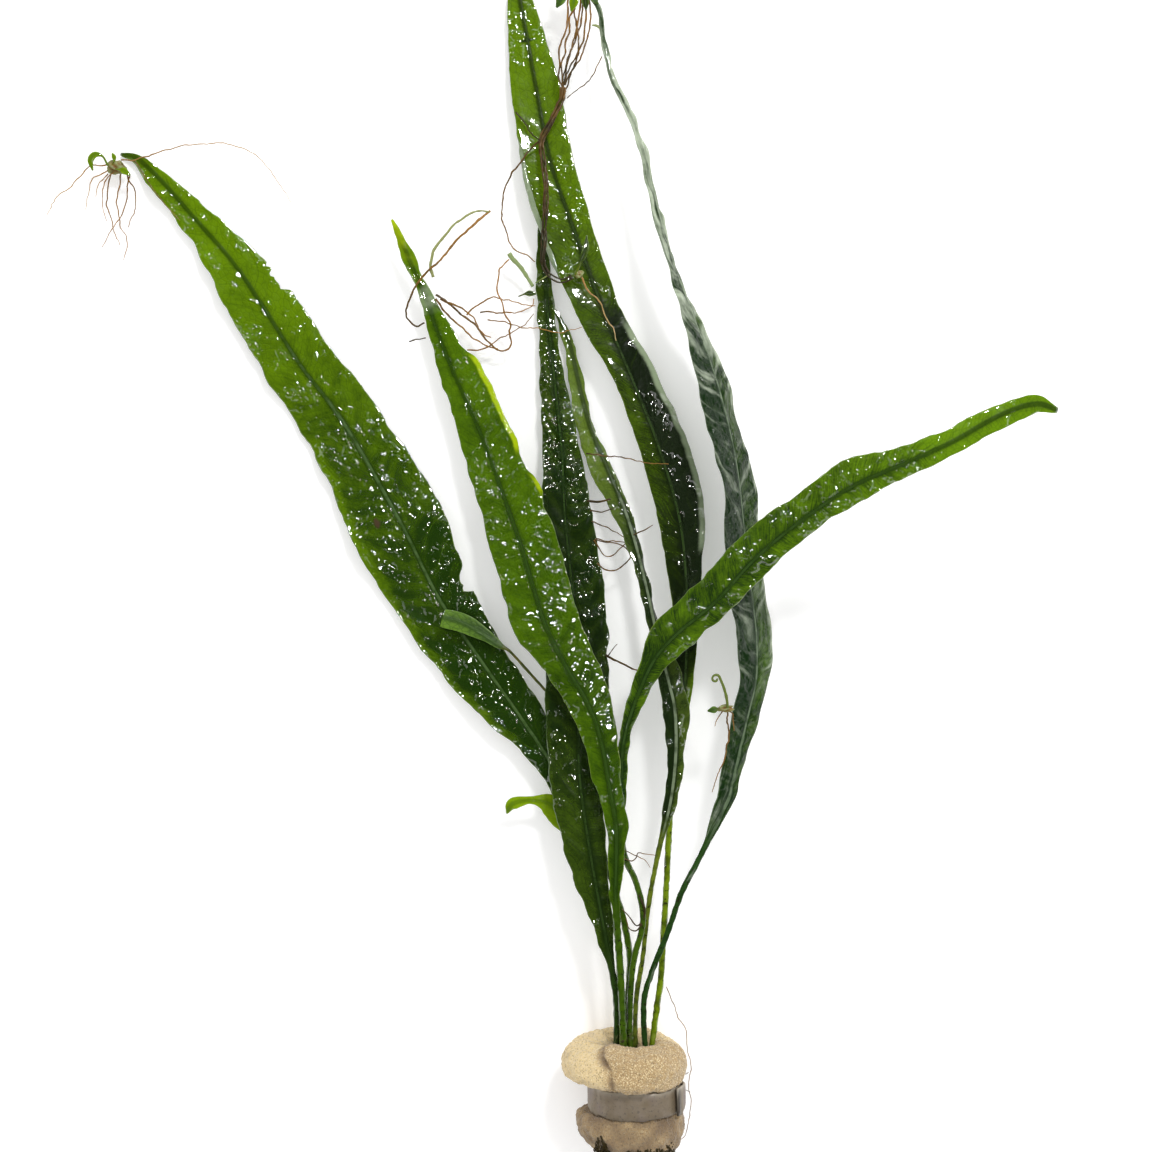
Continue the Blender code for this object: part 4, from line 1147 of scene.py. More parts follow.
@dataclass
class FoamWrap:
    """The rolled foam: a dimple that the stalks enter, a full rim, a waist, and a lower lobe.

    Rows hold y, the ring's centre x and z, its radius, how far the roll's outer end bulges to the left,
    and how much darker and browner the foam is.
    """

    rows: list[tuple[float, ...]] = field(
        default_factory=lambda: [
            (2.2, 2.3, 15.1, 0.3, 0.0, 0.9),
            (2.2, 2.3, 15.1, 2.0, 0.0, 0.9),
            (2.6, 2.3, 15.1, 3.8, 0.0, 0.85),
            (4.0, 2.1, 14.9, 5.2, 0.2, 0.65),
            (5.3, 1.8, 14.5, 7.0, 0.5, 0.42),
            (5.6, 1.3, 14.2, 9.4, 0.8, 0.18),
            (5.2, 0.9, 14.2, 11.2, 1.0, 0.12),
            (4.2, 0.4, 14.2, 13.3, 0.7, 0.08),
            (2.3, 0.1, 14.2, 14.9, 0.4, 0.06),
            (-0.2, 0.0, 14.2, 15.5, 0.2, 0.08),
            (-2.3, 0.2, 14.2, 15.0, 0.0, 0.15),
            (-3.8, 1.2, 14.2, 13.3, 0.0, 0.35),
            (-4.5, 2.4, 14.2, 11.0, 0.0, 0.8),
            (-5.2, 2.6, 14.2, 10.3, 0.0, 1.0),
            (-8.0, 2.6, 14.2, 10.3, 0.0, 1.0),
            (-10.8, 2.6, 14.2, 10.3, 0.3, 1.0),
            (-11.8, 2.7, 14.2, 10.9, 1.8, 0.95),
            (-12.8, 2.9, 14.2, 11.3, 2.9, 0.90),
            (-14.8, 3.2, 14.2, 11.7, 3.3, 0.84),
            (-17.5, 3.4, 14.2, 11.5, 2.9, 0.86),
            (-20.2, 3.6, 14.2, 10.3, 0.9, 0.85),
            (-21.6, 3.5, 14.4, 8.4, 0.0, 0.95),
            (-21.4, 3.0, 14.8, 5.8, 0.0, 0.9),
            (-20.4, 2.4, 14.9, 3.4, 0.0, 1.0),
            (-20.1, 2.4, 14.9, 0.3, 0.0, 1.0),
        ]
    )
    around: int = 330
    along: int = 236
    pressed: float = 1.3
    seam_angle: float = 103.5
    seam_bend: float = 0.8
    seam_depth: float = 1.4
    seam_width: float = 4.6
    axis_z: float = 14.2

    def build(self) -> bpy.types.Object:
        """The foam as one closed padded piece."""
        table = np.array(self.rows)
        weight = np.array([1.0, 1.0, 1.0, 1.0, 1.0, 0.001])
        profile = smooth_path(table * weight, self.along)[0] / weight
        angle = np.linspace(0.0, 2 * pi, self.around, endpoint=False)
        y, centre_x, centre_z, radius, bulge, darkening = (profile[:, k][:, None] for k in range(6))
        leftness = np.clip(-np.cos(angle), 0.0, 1.0)[None, :] ** 2
        drift = self.seam_bend * np.clip(y, 0.0, 6.0) ** 2
        opening = 0.35 + 0.65 * smooth_step(-4.0, 4.5, y)
        off_seam = np.abs((np.degrees(angle)[None, :] - self.seam_angle - drift + 180) % 360 - 180)
        upper_roll = smooth_step(5.0, 11.0, radius) * smooth_step(-6.0, -3.0, y)
        in_seam = np.exp(-((off_seam / (self.seam_width * opening)) ** 2)) * upper_roll
        crease = self.seam_depth * opening * in_seam
        lip = 0.4 * opening * np.exp(-(((off_seam - 12) / 9.0) ** 2)) * upper_roll
        reach = radius + bulge * leftness - crease + lip * (np.degrees(angle)[None, :] > self.seam_angle)
        x = centre_x + reach * np.cos(angle)[None, :]
        z = centre_z + reach * np.sin(angle)[None, :]
        y = np.broadcast_to(y, x.shape)
        grid = np.stack([x, y, z], axis=-1)
        normal = np.cross(np.gradient(grid, axis=1), np.gradient(grid, axis=0))
        normal /= np.maximum(np.linalg.norm(normal, axis=2), 1e-9)[:, :, None]
        outward = np.sign(np.sum(normal * (grid - np.array([1.5, -8.0, self.axis_z])), axis=2).mean())
        lumps = 0.34 * SmoothNoise(401, 8.0).at(x, y, z) + 0.16 * SmoothNoise(402, 3.0).at(x, y, z)
        pores = SmoothNoise(403, 1.15, 40).at(x, y, z) + 0.6 * SmoothNoise(404, 0.75, 40).at(x, y, z)
        covered = window(-11.6, -4.2, 0.8, y)
        relief = (1 - 0.85 * covered) * (lumps + 0.09 * pores)
        grid += outward * normal * relief[:, :, None]
        grid[:, :, 2] = np.where(grid[:, :, 2] < self.pressed, 0.04 * np.maximum(pores, 0.0), grid[:, :, 2])
        # The seam's crease is darkened as painted shade, on top of the rows' darkening and a little noise.
        shade = darkening + 0.95 * opening * in_seam + 0.16 * SmoothNoise(405, 4.0).at(x, y, z)
        outer_lobe = smooth_step(0.0, 12.0, np.degrees(angle)[None, :] - self.seam_angle - drift) * smooth_step(-4.5, -2.5, y)
        draft = MeshDraft()
        draft.add_grid(grid, {"darkening": np.clip(shade, 0.0, 1.2), "cream": outer_lobe})
        piece = draft.build("foam_wrap_cells", FoamFinish().material(), "foam", ("foam_wrap",))
        return piece


@dataclass
class WeightStrip:
    """The soft metal strip: one band bent round the foam's waist, its outer end lying over the inner."""

    centre: tuple[float, float] = (2.6, 14.2)
    middle_y: float = -7.9
    wide: float = 6.4
    thick: float = 0.8
    radius: float = 11.0
    start: float = 10.0
    turn: float = 384.0
    lap: float = 48.0
    gap: float = 0.35
    steps: int = 420
    across: int = 26

    def build(self) -> bpy.types.Object:
        """The strip with its dents, rolled edges and overlapping end."""
        turned = np.linspace(0.0, self.turn, self.steps)
        climb = smooth_step(self.turn - self.lap, self.turn - 0.5 * self.lap, turned)
        angle = np.radians(self.start + turned)
        loop = np.linspace(0.0, 2 * pi, self.across, endpoint=False)
        side = np.sign(np.cos(loop)) * np.abs(np.cos(loop)) ** 0.35
        level = np.sign(np.sin(loop)) * np.abs(np.sin(loop)) ** 0.45
        around = (self.radius * angle)[:, None]
        dent = 0.16 * SmoothNoise(501, 9.0).at(around, side[None, :] * 3) + 0.06 * SmoothNoise(502, 2.6).at(around, side[None, :] * 3)
        fray = 0.22 * SmoothNoise(503, 8.0).at(around) * side[None, :] + 0.08 * SmoothNoise(504, 2.2).at(around, side[None, :] * 9)
        reach = self.radius + climb[:, None] * (self.thick + self.gap) + 0.5 * self.thick * (1 + level[None, :]) + dent
        y = self.middle_y + 0.5 * self.wide * side[None, :] + fray
        x = self.centre[0] + reach * np.cos(angle)[:, None]
        z = self.centre[1] + reach * np.sin(angle)[:, None]
        grid = np.stack([x, np.broadcast_to(y, x.shape), z], axis=-1)
        end = smooth_step(self.turn - 9.0, self.turn, turned)[:, None] * np.ones_like(x)
        # margin marks the edge away from the light for painted shade; edge marks the edge facing the light for a
        # painted highlight.
        margin = np.clip(-side[None, :], 0.0, 1.0) ** 6 * 0.5 * np.ones_like(x)
        edge = np.clip(side[None, :], 0.0, 1.0) ** 5 * np.ones_like(x)
        values = {"dark": np.maximum(end, margin), "edge": edge, "band_at": np.stack([around + 0 * x, y + 0 * x, level[None, :] + 0 * x], axis=-1)}
        draft = MeshDraft()
        draft.add_grid(grid, values)
        return draft.build("weight_strip_band", StripFinish().material(), "lead", ("weight_strip",))


@dataclass
class RootTuft:
    """The dark roots that leave the foot of the foam, which fan out from one crown."""

    crown: Point = (2.4, -18.5, 14.9)
    mouth: tuple[float, float] = (5.2, 4.0)
    count: int = 74
    length: tuple[float, float] = (7.0, 15.0)
    spread: tuple[float, float] = (8.5, 6.0)
    seed: int = 77
    foot: tuple[float, float] = (3.5, 14.2)
    foot_radius: float = 11.0
    fringe_count: int = 64
    fringe_x: tuple[float, float] = (-5.6, 12.6)
    fringe_y: tuple[float, float] = (-20.2, -18.2)
    gap_count: int = 18
    gap_x: tuple[float, float] = (-7.2, -4.6)
    gap_y: tuple[float, float] = (-17.4, -15.2)

    def build(self) -> bpy.types.Object:
        """The tuft as one object of many roots."""
        draw = np.random.default_rng(self.seed)
        strands = []
        for number in range(self.count):
            turn, out = draw.uniform(0, 2 * pi), np.sqrt(draw.uniform(0.02, 1.0))
            reach = draw.uniform(*self.length)
            start = np.array([self.crown[0] + self.mouth[0] * out * cos(turn), self.crown[1],
                              self.crown[2] + self.mouth[1] * out * sin(turn)])
            drift = np.array([self.spread[0] * out * cos(turn), -reach, self.spread[1] * out * sin(turn)])
            sway = draw.normal(0.0, 1.0, 3) * (1.4, 0.8, 1.0)
            points = [tuple(start + drift * share + sway * bend) for share, bend in ((0, 0), (0.3, 1), (0.65, -0.8), (1, 0.4))]
            strands.append(Strand(points, draw.uniform(0.18, 0.42), 0.10, (1.0, draw.uniform(0.5, 1.0)),
                                  wave=0.5, wave_length=5.0, seed=900 + number))
        strands += self.fringe(draw)
        return RootGroup("root_tuft_strands", strands, ("root_tuft",)).build()

    def fringe(self, draw: np.random.Generator) -> list[Strand]:
        """The roots that creep out over the foot of the foam.

        Args:
            draw: Source of the random draws.

        Returns:
            The roots.
        """
        strands = []
        for number in range(self.fringe_count):
            x = draw.uniform(*self.fringe_x)
            top = self.foot[1] + np.sqrt(max(self.foot_radius**2 - (x - self.foot[0]) ** 2, 0.0))
            y = draw.uniform(*self.fringe_y) + 0.10 * abs(x - self.foot[0])
            points = [(x, y, top + 0.2), (x + draw.normal(0, 0.6), y - 1.8, top - 0.6),
                      (x + draw.normal(0, 1.2), y - 4.2, top - 2.4), (x + draw.normal(0, 1.8), y - 7.0, top - 5.0)]
            strands.append(Strand(points, draw.uniform(0.14, 0.30), 0.09, (1.15, 0.95), wave=0.5, wave_length=3.5,
                                  seed=1100 + number))
        for number in range(self.gap_count):
            x, y = draw.uniform(*self.gap_x), draw.uniform(*self.gap_y)
            points = [(x, y, 24.2), (x + draw.normal(0, 0.4), y - 1.8, 24.0), (x + draw.normal(0, 0.6), y - 4.0, 22.4),
                      (x + draw.normal(0, 0.9), y - 8.0, 18.0)]
            strands.append(Strand(points, draw.uniform(0.13, 0.28), 0.10, (1.3, 1.1), wave=0.6, wave_length=3.0,
                                  seed=1200 + number))
        return strands


@dataclass
class Studio:
    """The pale board, the soft light and the camera that looks straight down."""

    centre: tuple[float, float] = (-12.0, 122.0)
    height: float = 420.0
    frame_width: float = 299.52
    sensor: float = 36.0
    light_from: Point = (0.33, 0.85, 1.0)
    light_distance: float = 1400.0
    light_degrees: float = 8.5
    light_watts: float = 8.0
    glint_from: Point = (0.28, 0.74, 1.0)
    glint_degrees: float = 8.0
    glint_watts: float = 32.0
    fill: float = 1.0
    sheen: float = 0.006
    board: float = 3000.0

    def build(self) -> None:
        """Makes the board, the light, the sky and the camera."""
        self.make_board()
        key = self.make_lamp("key", self.light_from, self.light_degrees, self.light_watts)
        key.visible_glossy = False
        glint = self.make_lamp("glint", self.glint_from, self.glint_degrees, self.glint_watts)
        glint.visible_diffuse = False
        self.make_sky()
        self.make_camera()
        bpy.context.scene.view_settings.view_transform = "Standard"

    def make_board(self) -> None:
        """The board, a little under the bunch's lowest point."""
        half = 0.5 * self.board * MM
        mesh = bpy.data.meshes.new("board")
        mesh.from_pydata([(-half, -half, 0), (half, -half, 0), (half, half, 0), (-half, half, 0)], [], [(0, 1, 2, 3)])
        mesh.materials.append(BoardFinish().material())
        board = bpy.data.objects.new("board", mesh)
        board.location = (self.centre[0] * MM, self.centre[1] * MM, -0.0001)
        bpy.context.scene.collection.objects.link(board)

    def make_lamp(self, name: str, light_from: Point, degrees: float, watts: float) -> bpy.types.Object:
        """A round soft lamp that points at the middle of the bunch.

        Args:
            name: The lamp's name.
            light_from: Direction that its light comes from.
            degrees: How wide it looks from the bunch.
            watts: Its power.

        Returns:
            The lamp.
        """
        lamp = bpy.data.lights.new(name, "AREA")
        lamp.shape = "DISK"
        lamp.size = 2 * self.light_distance * tan(radians(0.5 * degrees)) * MM
        lamp.energy = watts
        holder = bpy.data.objects.new(name, lamp)
        aim = Vector(light_from).normalized()
        target = Vector((self.centre[0], self.centre[1], 0.0))
        holder.location = (target + aim * self.light_distance) * MM
        holder.rotation_euler = aim.to_track_quat("Z", "Y").to_euler()
        bpy.context.scene.collection.objects.link(holder)
        return holder

    def make_sky(self) -> None:
        """A soft even sky that wet surfaces mirror only faintly, as between black cards."""
        world = bpy.data.worlds.new("soft_sky")
        world.use_nodes = True
        tree = world.node_tree
        ray = tree.nodes.new("ShaderNodeLightPath")
        strength = tree.nodes.new("ShaderNodeMapRange")
        strength.inputs["To Min"].default_value = self.fill
        strength.inputs["To Max"].default_value = self.sheen
        tree.links.new(ray.outputs["Is Glossy Ray"], strength.inputs["Value"])
        back = tree.nodes["Background"]
        back.inputs["Color"].default_value = (1.0, 1.0, 1.0, 1.0)
        tree.links.new(strength.outputs["Result"], back.inputs["Strength"])
        bpy.context.scene.world = world

    def make_camera(self) -> None:
        """The camera, straight above, framing the photograph's view."""
        data = bpy.data.cameras.new("camera")
        data.sensor_width = self.sensor
        data.lens = self.sensor * self.height / self.frame_width
        data.clip_start = 0.01
        camera = bpy.data.objects.new("camera", data)
        camera.location = (self.centre[0] * MM, self.centre[1] * MM, self.height * MM)
        bpy.context.scene.collection.objects.link(camera)
        bpy.context.scene.camera = camera


GREEN = LeafFinish("wet_green", rib=(0.10, 0.165, 0.06))
MID_GREEN = LeafFinish("wet_mid_green", bright=(0.100, 0.205, 0.002), rib_shown=0.20, rib_wide=0.36)
HIGH_GREEN = LeafFinish("wet_high_green", bright=(0.135, 0.265, 0.003), deep=(0.010, 0.030, 0.003), hatch=0.24,
                        gloss=0.03, mottle=0.42, rib_shown=0.28, rib_wide=0.34)
TOP_GREEN = LeafFinish("wet_top_green", bright=(0.120, 0.225, 0.002), deep=(0.006, 0.012, 0.003),
                       stem=(0.15, 0.23, 0.006), under=(0.105, 0.150, 0.080), rib_shown=0.30, rib_wide=0.36, hatch=0.15, bulge=0.04,
                       vein_dark=0.20)
DARK_GREEN = LeafFinish("wet_dark_green", bright=(0.075, 0.135, 0.006), deep=(0.007, 0.019, 0.002),
                        rim=(0.08, 0.16, 0.02), stem=(0.020, 0.050, 0.006), gloss=0.02, rib_shown=0.22,
                        rib_wide=0.34)
OLIVE = LeafFinish("wet_olive", bright=(0.120, 0.190, 0.020), deep=(0.009, 0.020, 0.004), rim=(0.20, 0.28, 0.10),
                   stem=(0.12, 0.165, 0.012), rib=(0.26, 0.32, 0.20), rib_shown=0.6, rib_wide=0.28, gloss=0.03)
# Its pale colour, pale rim and streaks are painted sheen: the white board's reflection in the frond's steep wet blade,
# with little coat left to reflect it.
BLUE_GREEN = LeafFinish("wet_blue_green", bright=(0.080, 0.150, 0.022), deep=(0.006, 0.022, 0.004),
                        rim=(0.30, 0.36, 0.26), under=(0.13, 0.17, 0.11), stem=(0.018, 0.055, 0.008), mottle=0.50,
                        pale=(0.42, 0.48, 0.36), rib=(0.20, 0.27, 0.16), rib_shown=0.5, gloss=0.03, coat=0.16,
                        coat_ior=1.8, vein_gap=7.5, painted_sheen=0.20, sheen_streak=1.5, ripple=2.4, hatch=0.25)
YOUNG_YELLOW = LeafFinish("young_yellow", bright=(0.24, 0.38, 0.004), deep=(0.09, 0.17, 0.003),
                          rim=(0.36, 0.48, 0.02), stem=(0.12, 0.19, 0.006), ripple=0.25)
YOUNG_GREEN = LeafFinish("young_green", bright=(0.110, 0.220, 0.012), deep=(0.022, 0.060, 0.004), net=0.5, mottle=0.6,
                         rim=(0.18, 0.30, 0.06), stem=(0.12, 0.11, 0.02), roughness=0.5, gloss=0.2, coat=0.1,
                         coat_ior=1.4, ripple=0.03, vein_gap=2.2)


def fronds() -> list[Frond]:
    """The seven fronds and the two young leaves."""
    return [
        Frond(
            "frond_far_left", "frond_bright", GREEN, 0.8, 0.16, seed=1, quilt=0.42, ruffle=0.55,
            rib=[
                (0.3, 0, 14.6), (1, 15, 13.8), (1.5, 26.5, 13.2), (-1, 39, 12.2), (-6, 52.5, 10.4),
                (-13.5, 66, 8.7), (-21.5, 79, 5.6), (-36.5, 100.5, 4.6), (-47, 116, 4.2), (-57.5, 136.5, 4.2),
                (-71.5, 161, 4), (-83, 176.5, 3.8), (-94, 193.5, 3.6), (-101, 203.5, 3.4), (-111, 215, 3.2),
                (-119.5, 224.5, 3), (-125.5, 230, 2), (-130, 231.5, 0.7),
            ],
            blade=[
                (0.00, 0.8, 0.8, 0, 0), (0.16, 0.8, 0.8, 0, 0), (0.23, 3.0, 2.6, -6, 0),
                (0.31, 4.6, 5.6, -4, 4), (0.41, 9.2, 6.9, -5, 5), (0.47, 10.2, 8.8, -5, 6),
                (0.56, 12.1, 11.2, -6, 4), (0.66, 11.0, 9.2, -6, 3), (0.73, 9.5, 9.0, -5, 3),
                (0.81, 8.5, 8.0, -5, 4), (0.85, 6.6, 5.9, -4, 4), (0.91, 4.1, 3.9, -4, 4),
                (0.955, 3.3, 2.0, -8, 0), (0.985, 1.5, 1.0, -10, 0), (1.00, 0.5, 0.4, 0, 0),
            ],
            tone=[
                (0.0, 0.5, 0.5, 0, 0), (0.2, 0.8, 0.8, 0, 0), (0.3, 1.0, 1.0, 0, 0), (0.42, 0.92, 1.0, 0, 0),
                (0.5, 0.78, 0.9, 0, 0), (0.56, 0.68, 0.72, 0, 0), (0.64, 0.56, 0.56, 0, 0), (0.72, 0.42, 0.40, 0, 0),
                (0.8, 0.26, 0.24, 0, 0), (0.9, 0.12, 0.14, 0.03, 0), (1.0, 0.1, 0.1, 0.2, 0),
            ],
            wet=[(0.0, 0.1, 0.1), (0.28, 0.2, 0.3), (0.35, 0.75, 0.8), (0.60, 0.8, 0.65), (0.68, 0.4, 0.3),
                 (0.85, 0.25, 0.15), (1.0, 0.3, 0.3)],
            hems=[Hem(Side.LEFT, 0.30, 0.62, 1.2, 30, 0.06)],
            nicks=[
                Nick(Side.RIGHT, 0.808, 3.6, 1.5), Nick(Side.RIGHT, 0.801, 0.9, 1.0), Nick(Side.RIGHT, 0.818, 1.0, 0.9),
                Nick(Side.RIGHT, 0.826, 0.7, 0.8), Nick(Side.RIGHT, 0.478, 3.6, 2.0), Nick(Side.RIGHT, 0.469, 1.3, 1.2),
            ],
            # The bright band on the upturned left margin is painted light, where the margin catches the light.
            bands=[Band(Side.LEFT, 0.31, 0.68, 3.4, Tint.BRIGHT, 0.42)],
            spots=[
                Spot(0.565, 0.38, 2.1, 1.0, Tint.BROWN), Spot(0.551, 0.56, 3.6, 0.42, Tint.BROWN, 0.9),
                Spot(0.54, -0.45, 8.0, 4.5, Tint.DEEP, 0.9), Spot(0.50, -0.5, 7.0, 4.0, Tint.DEEP, 0.9),
                Spot(0.45, -0.5, 7.0, 4.0, Tint.DEEP),
            ],
        ),
        Frond(
            "frond_left", "frond_bright", MID_GREEN, 0.9, 0.14, seed=2, quilt=0.40, ruffle=0.5,
            rib=[
                (-0.1, 1, 18), (-0.6, 16.5, 18.3), (-1.5, 31.5, 18.3), (-2.2, 43, 18.3), (-2, 58.5, 18.2),
                (-3.8, 70, 17.8), (-6, 82, 17), (-9.5, 91, 16.2), (-14, 98.5, 15.2), (-20, 110.5, 13.6),
                (-26, 130, 11.6), (-30, 141.5, 10.4), (-36.5, 159, 8.6), (-43, 173.5, 7.4), (-47.5, 185, 6.8),
                (-50, 192.5, 6.6), (-54, 201.5, 6.6), (-57, 208.5, 7), (-59, 213, 7.6),
            ],
            blade=[
                (0.00, 0.9, 0.9, 0, 0), (0.14, 0.9, 0.9, 0, 0), (0.19, 1.4, 1.3, 0, 0),
                (0.26, 2.5, 2.7, -10, -10), (0.31, 3.4, 3.2, -12, -12), (0.36, 4.4, 4.4, -14, -6),
                (0.41, 5.2, 6.4, -14, -10), (0.45, 5.2, 7.8, -10, -6), (0.51, 7.9, 8.8, -6, 0),
                (0.60, 7.8, 9.4, -4, 4), (0.66, 6.8, 8.2, -6, 8), (0.74, 5.7, 6.2, -8, 16),
                (0.81, 3.6, 5.6, -8, 20), (0.865, 2.5, 3.6, 0, 12), (0.90, 1.7, 1.9, 0, 0),
                (0.92, 1.4, 1.6, 0, 0), (0.95, 1.7, 1.8, 0, 0), (0.98, 1.2, 1.0, 0, 0), (1.00, 0.3, 0.3, 0, 0),
            ],
            tone=[
                (0.0, 0.6, 0.6, 0, 0), (0.2, 0.6, 0.6, 0, 0), (0.3, 0.52, 0.62, 0, 0), (0.4, 0.52, 0.6, 0, 0),
                (0.55, 0.50, 0.52, 0, 0), (0.7, 0.46, 0.42, 0, 0), (0.8, 0.44, 0.40, 0, 0), (0.875, 0.35, 0.35, 0.05, 0.05),
                (0.895, 0.3, 0.3, 0.0, 0.52), (0.91, 0.25, 0.25, 0.05, 0.48), (0.925, 0.1, 0.1, 0.2, 0.1),
                (0.96, 0.1, 0.1, 0.35, 0), (1.0, 0.0, 0.0, 0.8, 0),
            ],
            wet=[(0.0, 0.1, 0.1), (0.33, 0.3, 0.3), (0.38, 1.25, 0.9), (0.62, 1.25, 0.85), (0.70, 0.5, 0.5), (0.78, 0.2, 0.6),
                 (0.84, 0.2, 0.2), (1.0, 0.2, 0.2)],
            hems=[Hem(Side.RIGHT, 0.685, 0.835, 1.7, 12, 0.03), Hem(Side.RIGHT, 0.63, 0.68, 1.6, 12)],
            bands=[Band(Side.RIGHT, 0.685, 0.835, 1.9, Tint.YELLOW), Band(Side.RIGHT, 0.63, 0.68, 1.8, Tint.YELLOW)],
        ),
        Frond(
            "frond_centre", "frond_dark", DARK_GREEN, 0.85, 0.085, seed=3, quilt=0.36, ruffle=0.45,
            rib=[
                (-2, 1, 16.3), (-1.9, 16, 15.9), (-4.5, 31, 15.1), (-8.5, 53, 13.6), (-11, 70.5, 12.2),
                (-11.4, 83, 11), (-12.3, 111, 8), (-14.8, 136.5, 5.8), (-15.8, 156, 4.6), (-18.4, 180.5, 3.4),
                (-20, 198.5, 2.4), (-21.3, 215.5, 1.4),
            ],
            blade=[
                (0.00, 0.85, 0.85, 0, 0), (0.085, 0.85, 0.85, 0, 0), (0.14, 2.0, 2.0, -4, 0),
                (0.19, 4.2, 3.0, -6, 0), (0.245, 6.5, 4.2, -8, 0), (0.33, 7.7, 5.9, -8, -4),
                (0.385, 8.3, 7.4, -6, -6), (0.51, 7.9, 8.2, 0, -4), (0.63, 5.9, 7.1, 4, 4),
                (0.725, 4.8, 4.7, 0, 8), (0.80, 3.9, 2.8, 0, 4), (0.84, 3.1, 1.9, 0, 0),
                (0.92, 2.3, 1.8, 0, 0), (1.00, 0.4, 0.4, 0, 0),
            ],
            tone=[
                (0.0, 0.6, 0.6, 0, 0), (0.1, 0.6, 0.6, 0, 0), (0.2, 0.55, 0.62, 0, 0), (0.3, 0.55, 0.70, 0, 0),
                (0.4, 0.75, 0.8, 0, 0), (0.6, 0.75, 0.75, 0, 0), (0.8, 0.6, 0.6, 0, 0), (0.9, 0.45, 0.5, 0, 0),
                (1.0, 0.3, 0.4, 0, 0),
            ],
            wet=[(0.0, 0.1, 0.1), (0.41, 0.2, 0.2), (0.44, 1.0, 0.6), (0.52, 1.0, 0.6), (0.56, 0.3, 0.3),
                 (0.66, 0.3, 0.3), (0.70, 0.8, 0.9), (0.84, 0.8, 0.8), (0.90, 0.2, 0.3), (1.0, 0.3, 0.3)],
        ),
        Frond(
            "frond_folded", "frond_dark", OLIVE, 0.6, 0.26, seed=4, quilt=0.18, ruffle=0.35,
            rib=[
                (2.75, 0, 15), (3.1, 15.5, 14.8), (4.8, 26.5, 14.4), (6.3, 40, 14.2), (9.1, 54.5, 14.4),
                (11.7, 65.5, 14.6), (13, 77, 14.8), (12.8, 88, 14.6), (11.2, 95.5, 14), (8, 108.5, 12),
                (5, 122.5, 9.8), (1.2, 136.5, 7.4), (-3.8, 149, 5.2), (-8.4, 160.5, 3.6), (-11.5, 172.5, 2.7),
                (-13.5, 181.5, 2.2), (-15.8, 187.6, 1.6), (-18, 191.5, 1.2),
            ],
            blade=[
                (0.00, 0.6, 0.6, 0, 0), (0.26, 0.6, 0.6, 0, 0), (0.335, 1.5, 2.0, -10, -25),
                (0.39, 2.1, 2.5, -15, -30), (0.45, 3.0, 4.6, -10, -30), (0.49, 2.5, 4.4, -10, -32),
                (0.555, 1.7, 1.8, 0, -30), (0.625, 1.8, 1.2, 0, -30), (0.70, 2.8, 1.5, -6, -30),
                (0.77, 4.2, 1.5, -10, -30), (0.83, 3.8, 1.2, -8, -20), (0.895, 2.4, 1.4, 0, -10),
                (0.94, 1.6, 1.3, 0, 0), (0.975, 0.9, 0.9, 0, 0), (1.00, 0.3, 0.3, 0, 0),
            ],
            tone=[
                (0.0, 0.3, 0.3, 0, 0), (0.3, 0.8, 0.5, 0, 0), (0.38, 0.95, 0.52, 0, 0), (0.46, 0.95, 0.50, 0, 0),
                (0.5, 0.95, 0.6, 0, 0), (0.62, 0.7, 0.7, 0, 0), (0.72, 0.45, 0.5, 0, 0.1), (0.8, 0.15, 0.2, 0, 0.2),
                (0.9, 0.0, 0.1, 0, 0.22), (1.0, 0.2, 0.3, 0, 0.1),
            ],
        ),
        Frond(
            "frond_top", "frond_bright", TOP_GREEN, 0.75, 0.20, seed=5, quilt=0.13, ruffle=0.2, wander=0.12,
            twist=3.0, rib_high=0.12,
            rib=[
                (6.6, 0.2, 14.9), (8.1, 12.5, 14.8), (9.3, 21, 14.4), (10.1, 33.5, 13.8), (10.9, 46, 12.6),
                (11.8, 61, 11.4), (13.4, 75.5, 10.6), (15.2, 91, 10.3), (16, 103.5, 10.2), (16, 118.5, 10.2),
                (14.3, 136, 9.9), (9.3, 154, 9), (3, 170.5, 7.8), (-6, 192.5, 6.4), (-13.5, 213.5, 5.4),
                (-18.7, 229, 4.8), (-22.3, 247.5, 4), (-24.6, 260.5, 3.2), (-26.7, 272, 2.2), (-27.7, 281.4, 1),
            ],
            blade=[
                (0.00, 0.75, 0.75, 0, 0), (0.20, 0.75, 0.75, 0, 0), (0.26, 1.4, 1.4, 0, -6),
                (0.315, 2.4, 2.0, 0, -14), (0.36, 3.2, 2.7, 0, -14), (0.41, 4.0, 3.8, 0, -14),
                (0.47, 5.4, 6.0, 2, -18), (0.535, 5.0, 6.6, 4, -20), (0.60, 4.5, 5.4, 6, -16),
                (0.68, 7.0, 4.5, 8, -8), (0.755, 7.9, 4.9, 8, 0), (0.81, 7.2, 5.9, 6, 2),
                (0.875, 6.6, 6.2, 2, 2), (0.925, 5.0, 4.8, 0, 1), (0.965, 3.1, 3.2, 1, 1), (1.00, 0.4, 0.4, 1, 1),
            ],
            tone=[
                (0.0, 0.2, 0.2, 0, 0), (0.26, 0.25, 0.2, 0, 0), (0.31, 0.55, 0.3, 0, 0), (0.36, 0.95, 0.9, 0, 0),
                (0.42, 0.9, 1.3, 0, 0), (0.5, 0.74, 1.5, 0, 0), (0.58, 0.68, 1.5, 0, 0), (0.64, 0.66, 1.1, 0, 0),
                (0.70, 0.55, 0.48, 0, 0),
                (0.8, 0.36, 0.28, 0, 0), (0.9, 0.2, 0.22, 0, 0), (1.0, 0.2, 0.2, 0.05, 0),
            ],
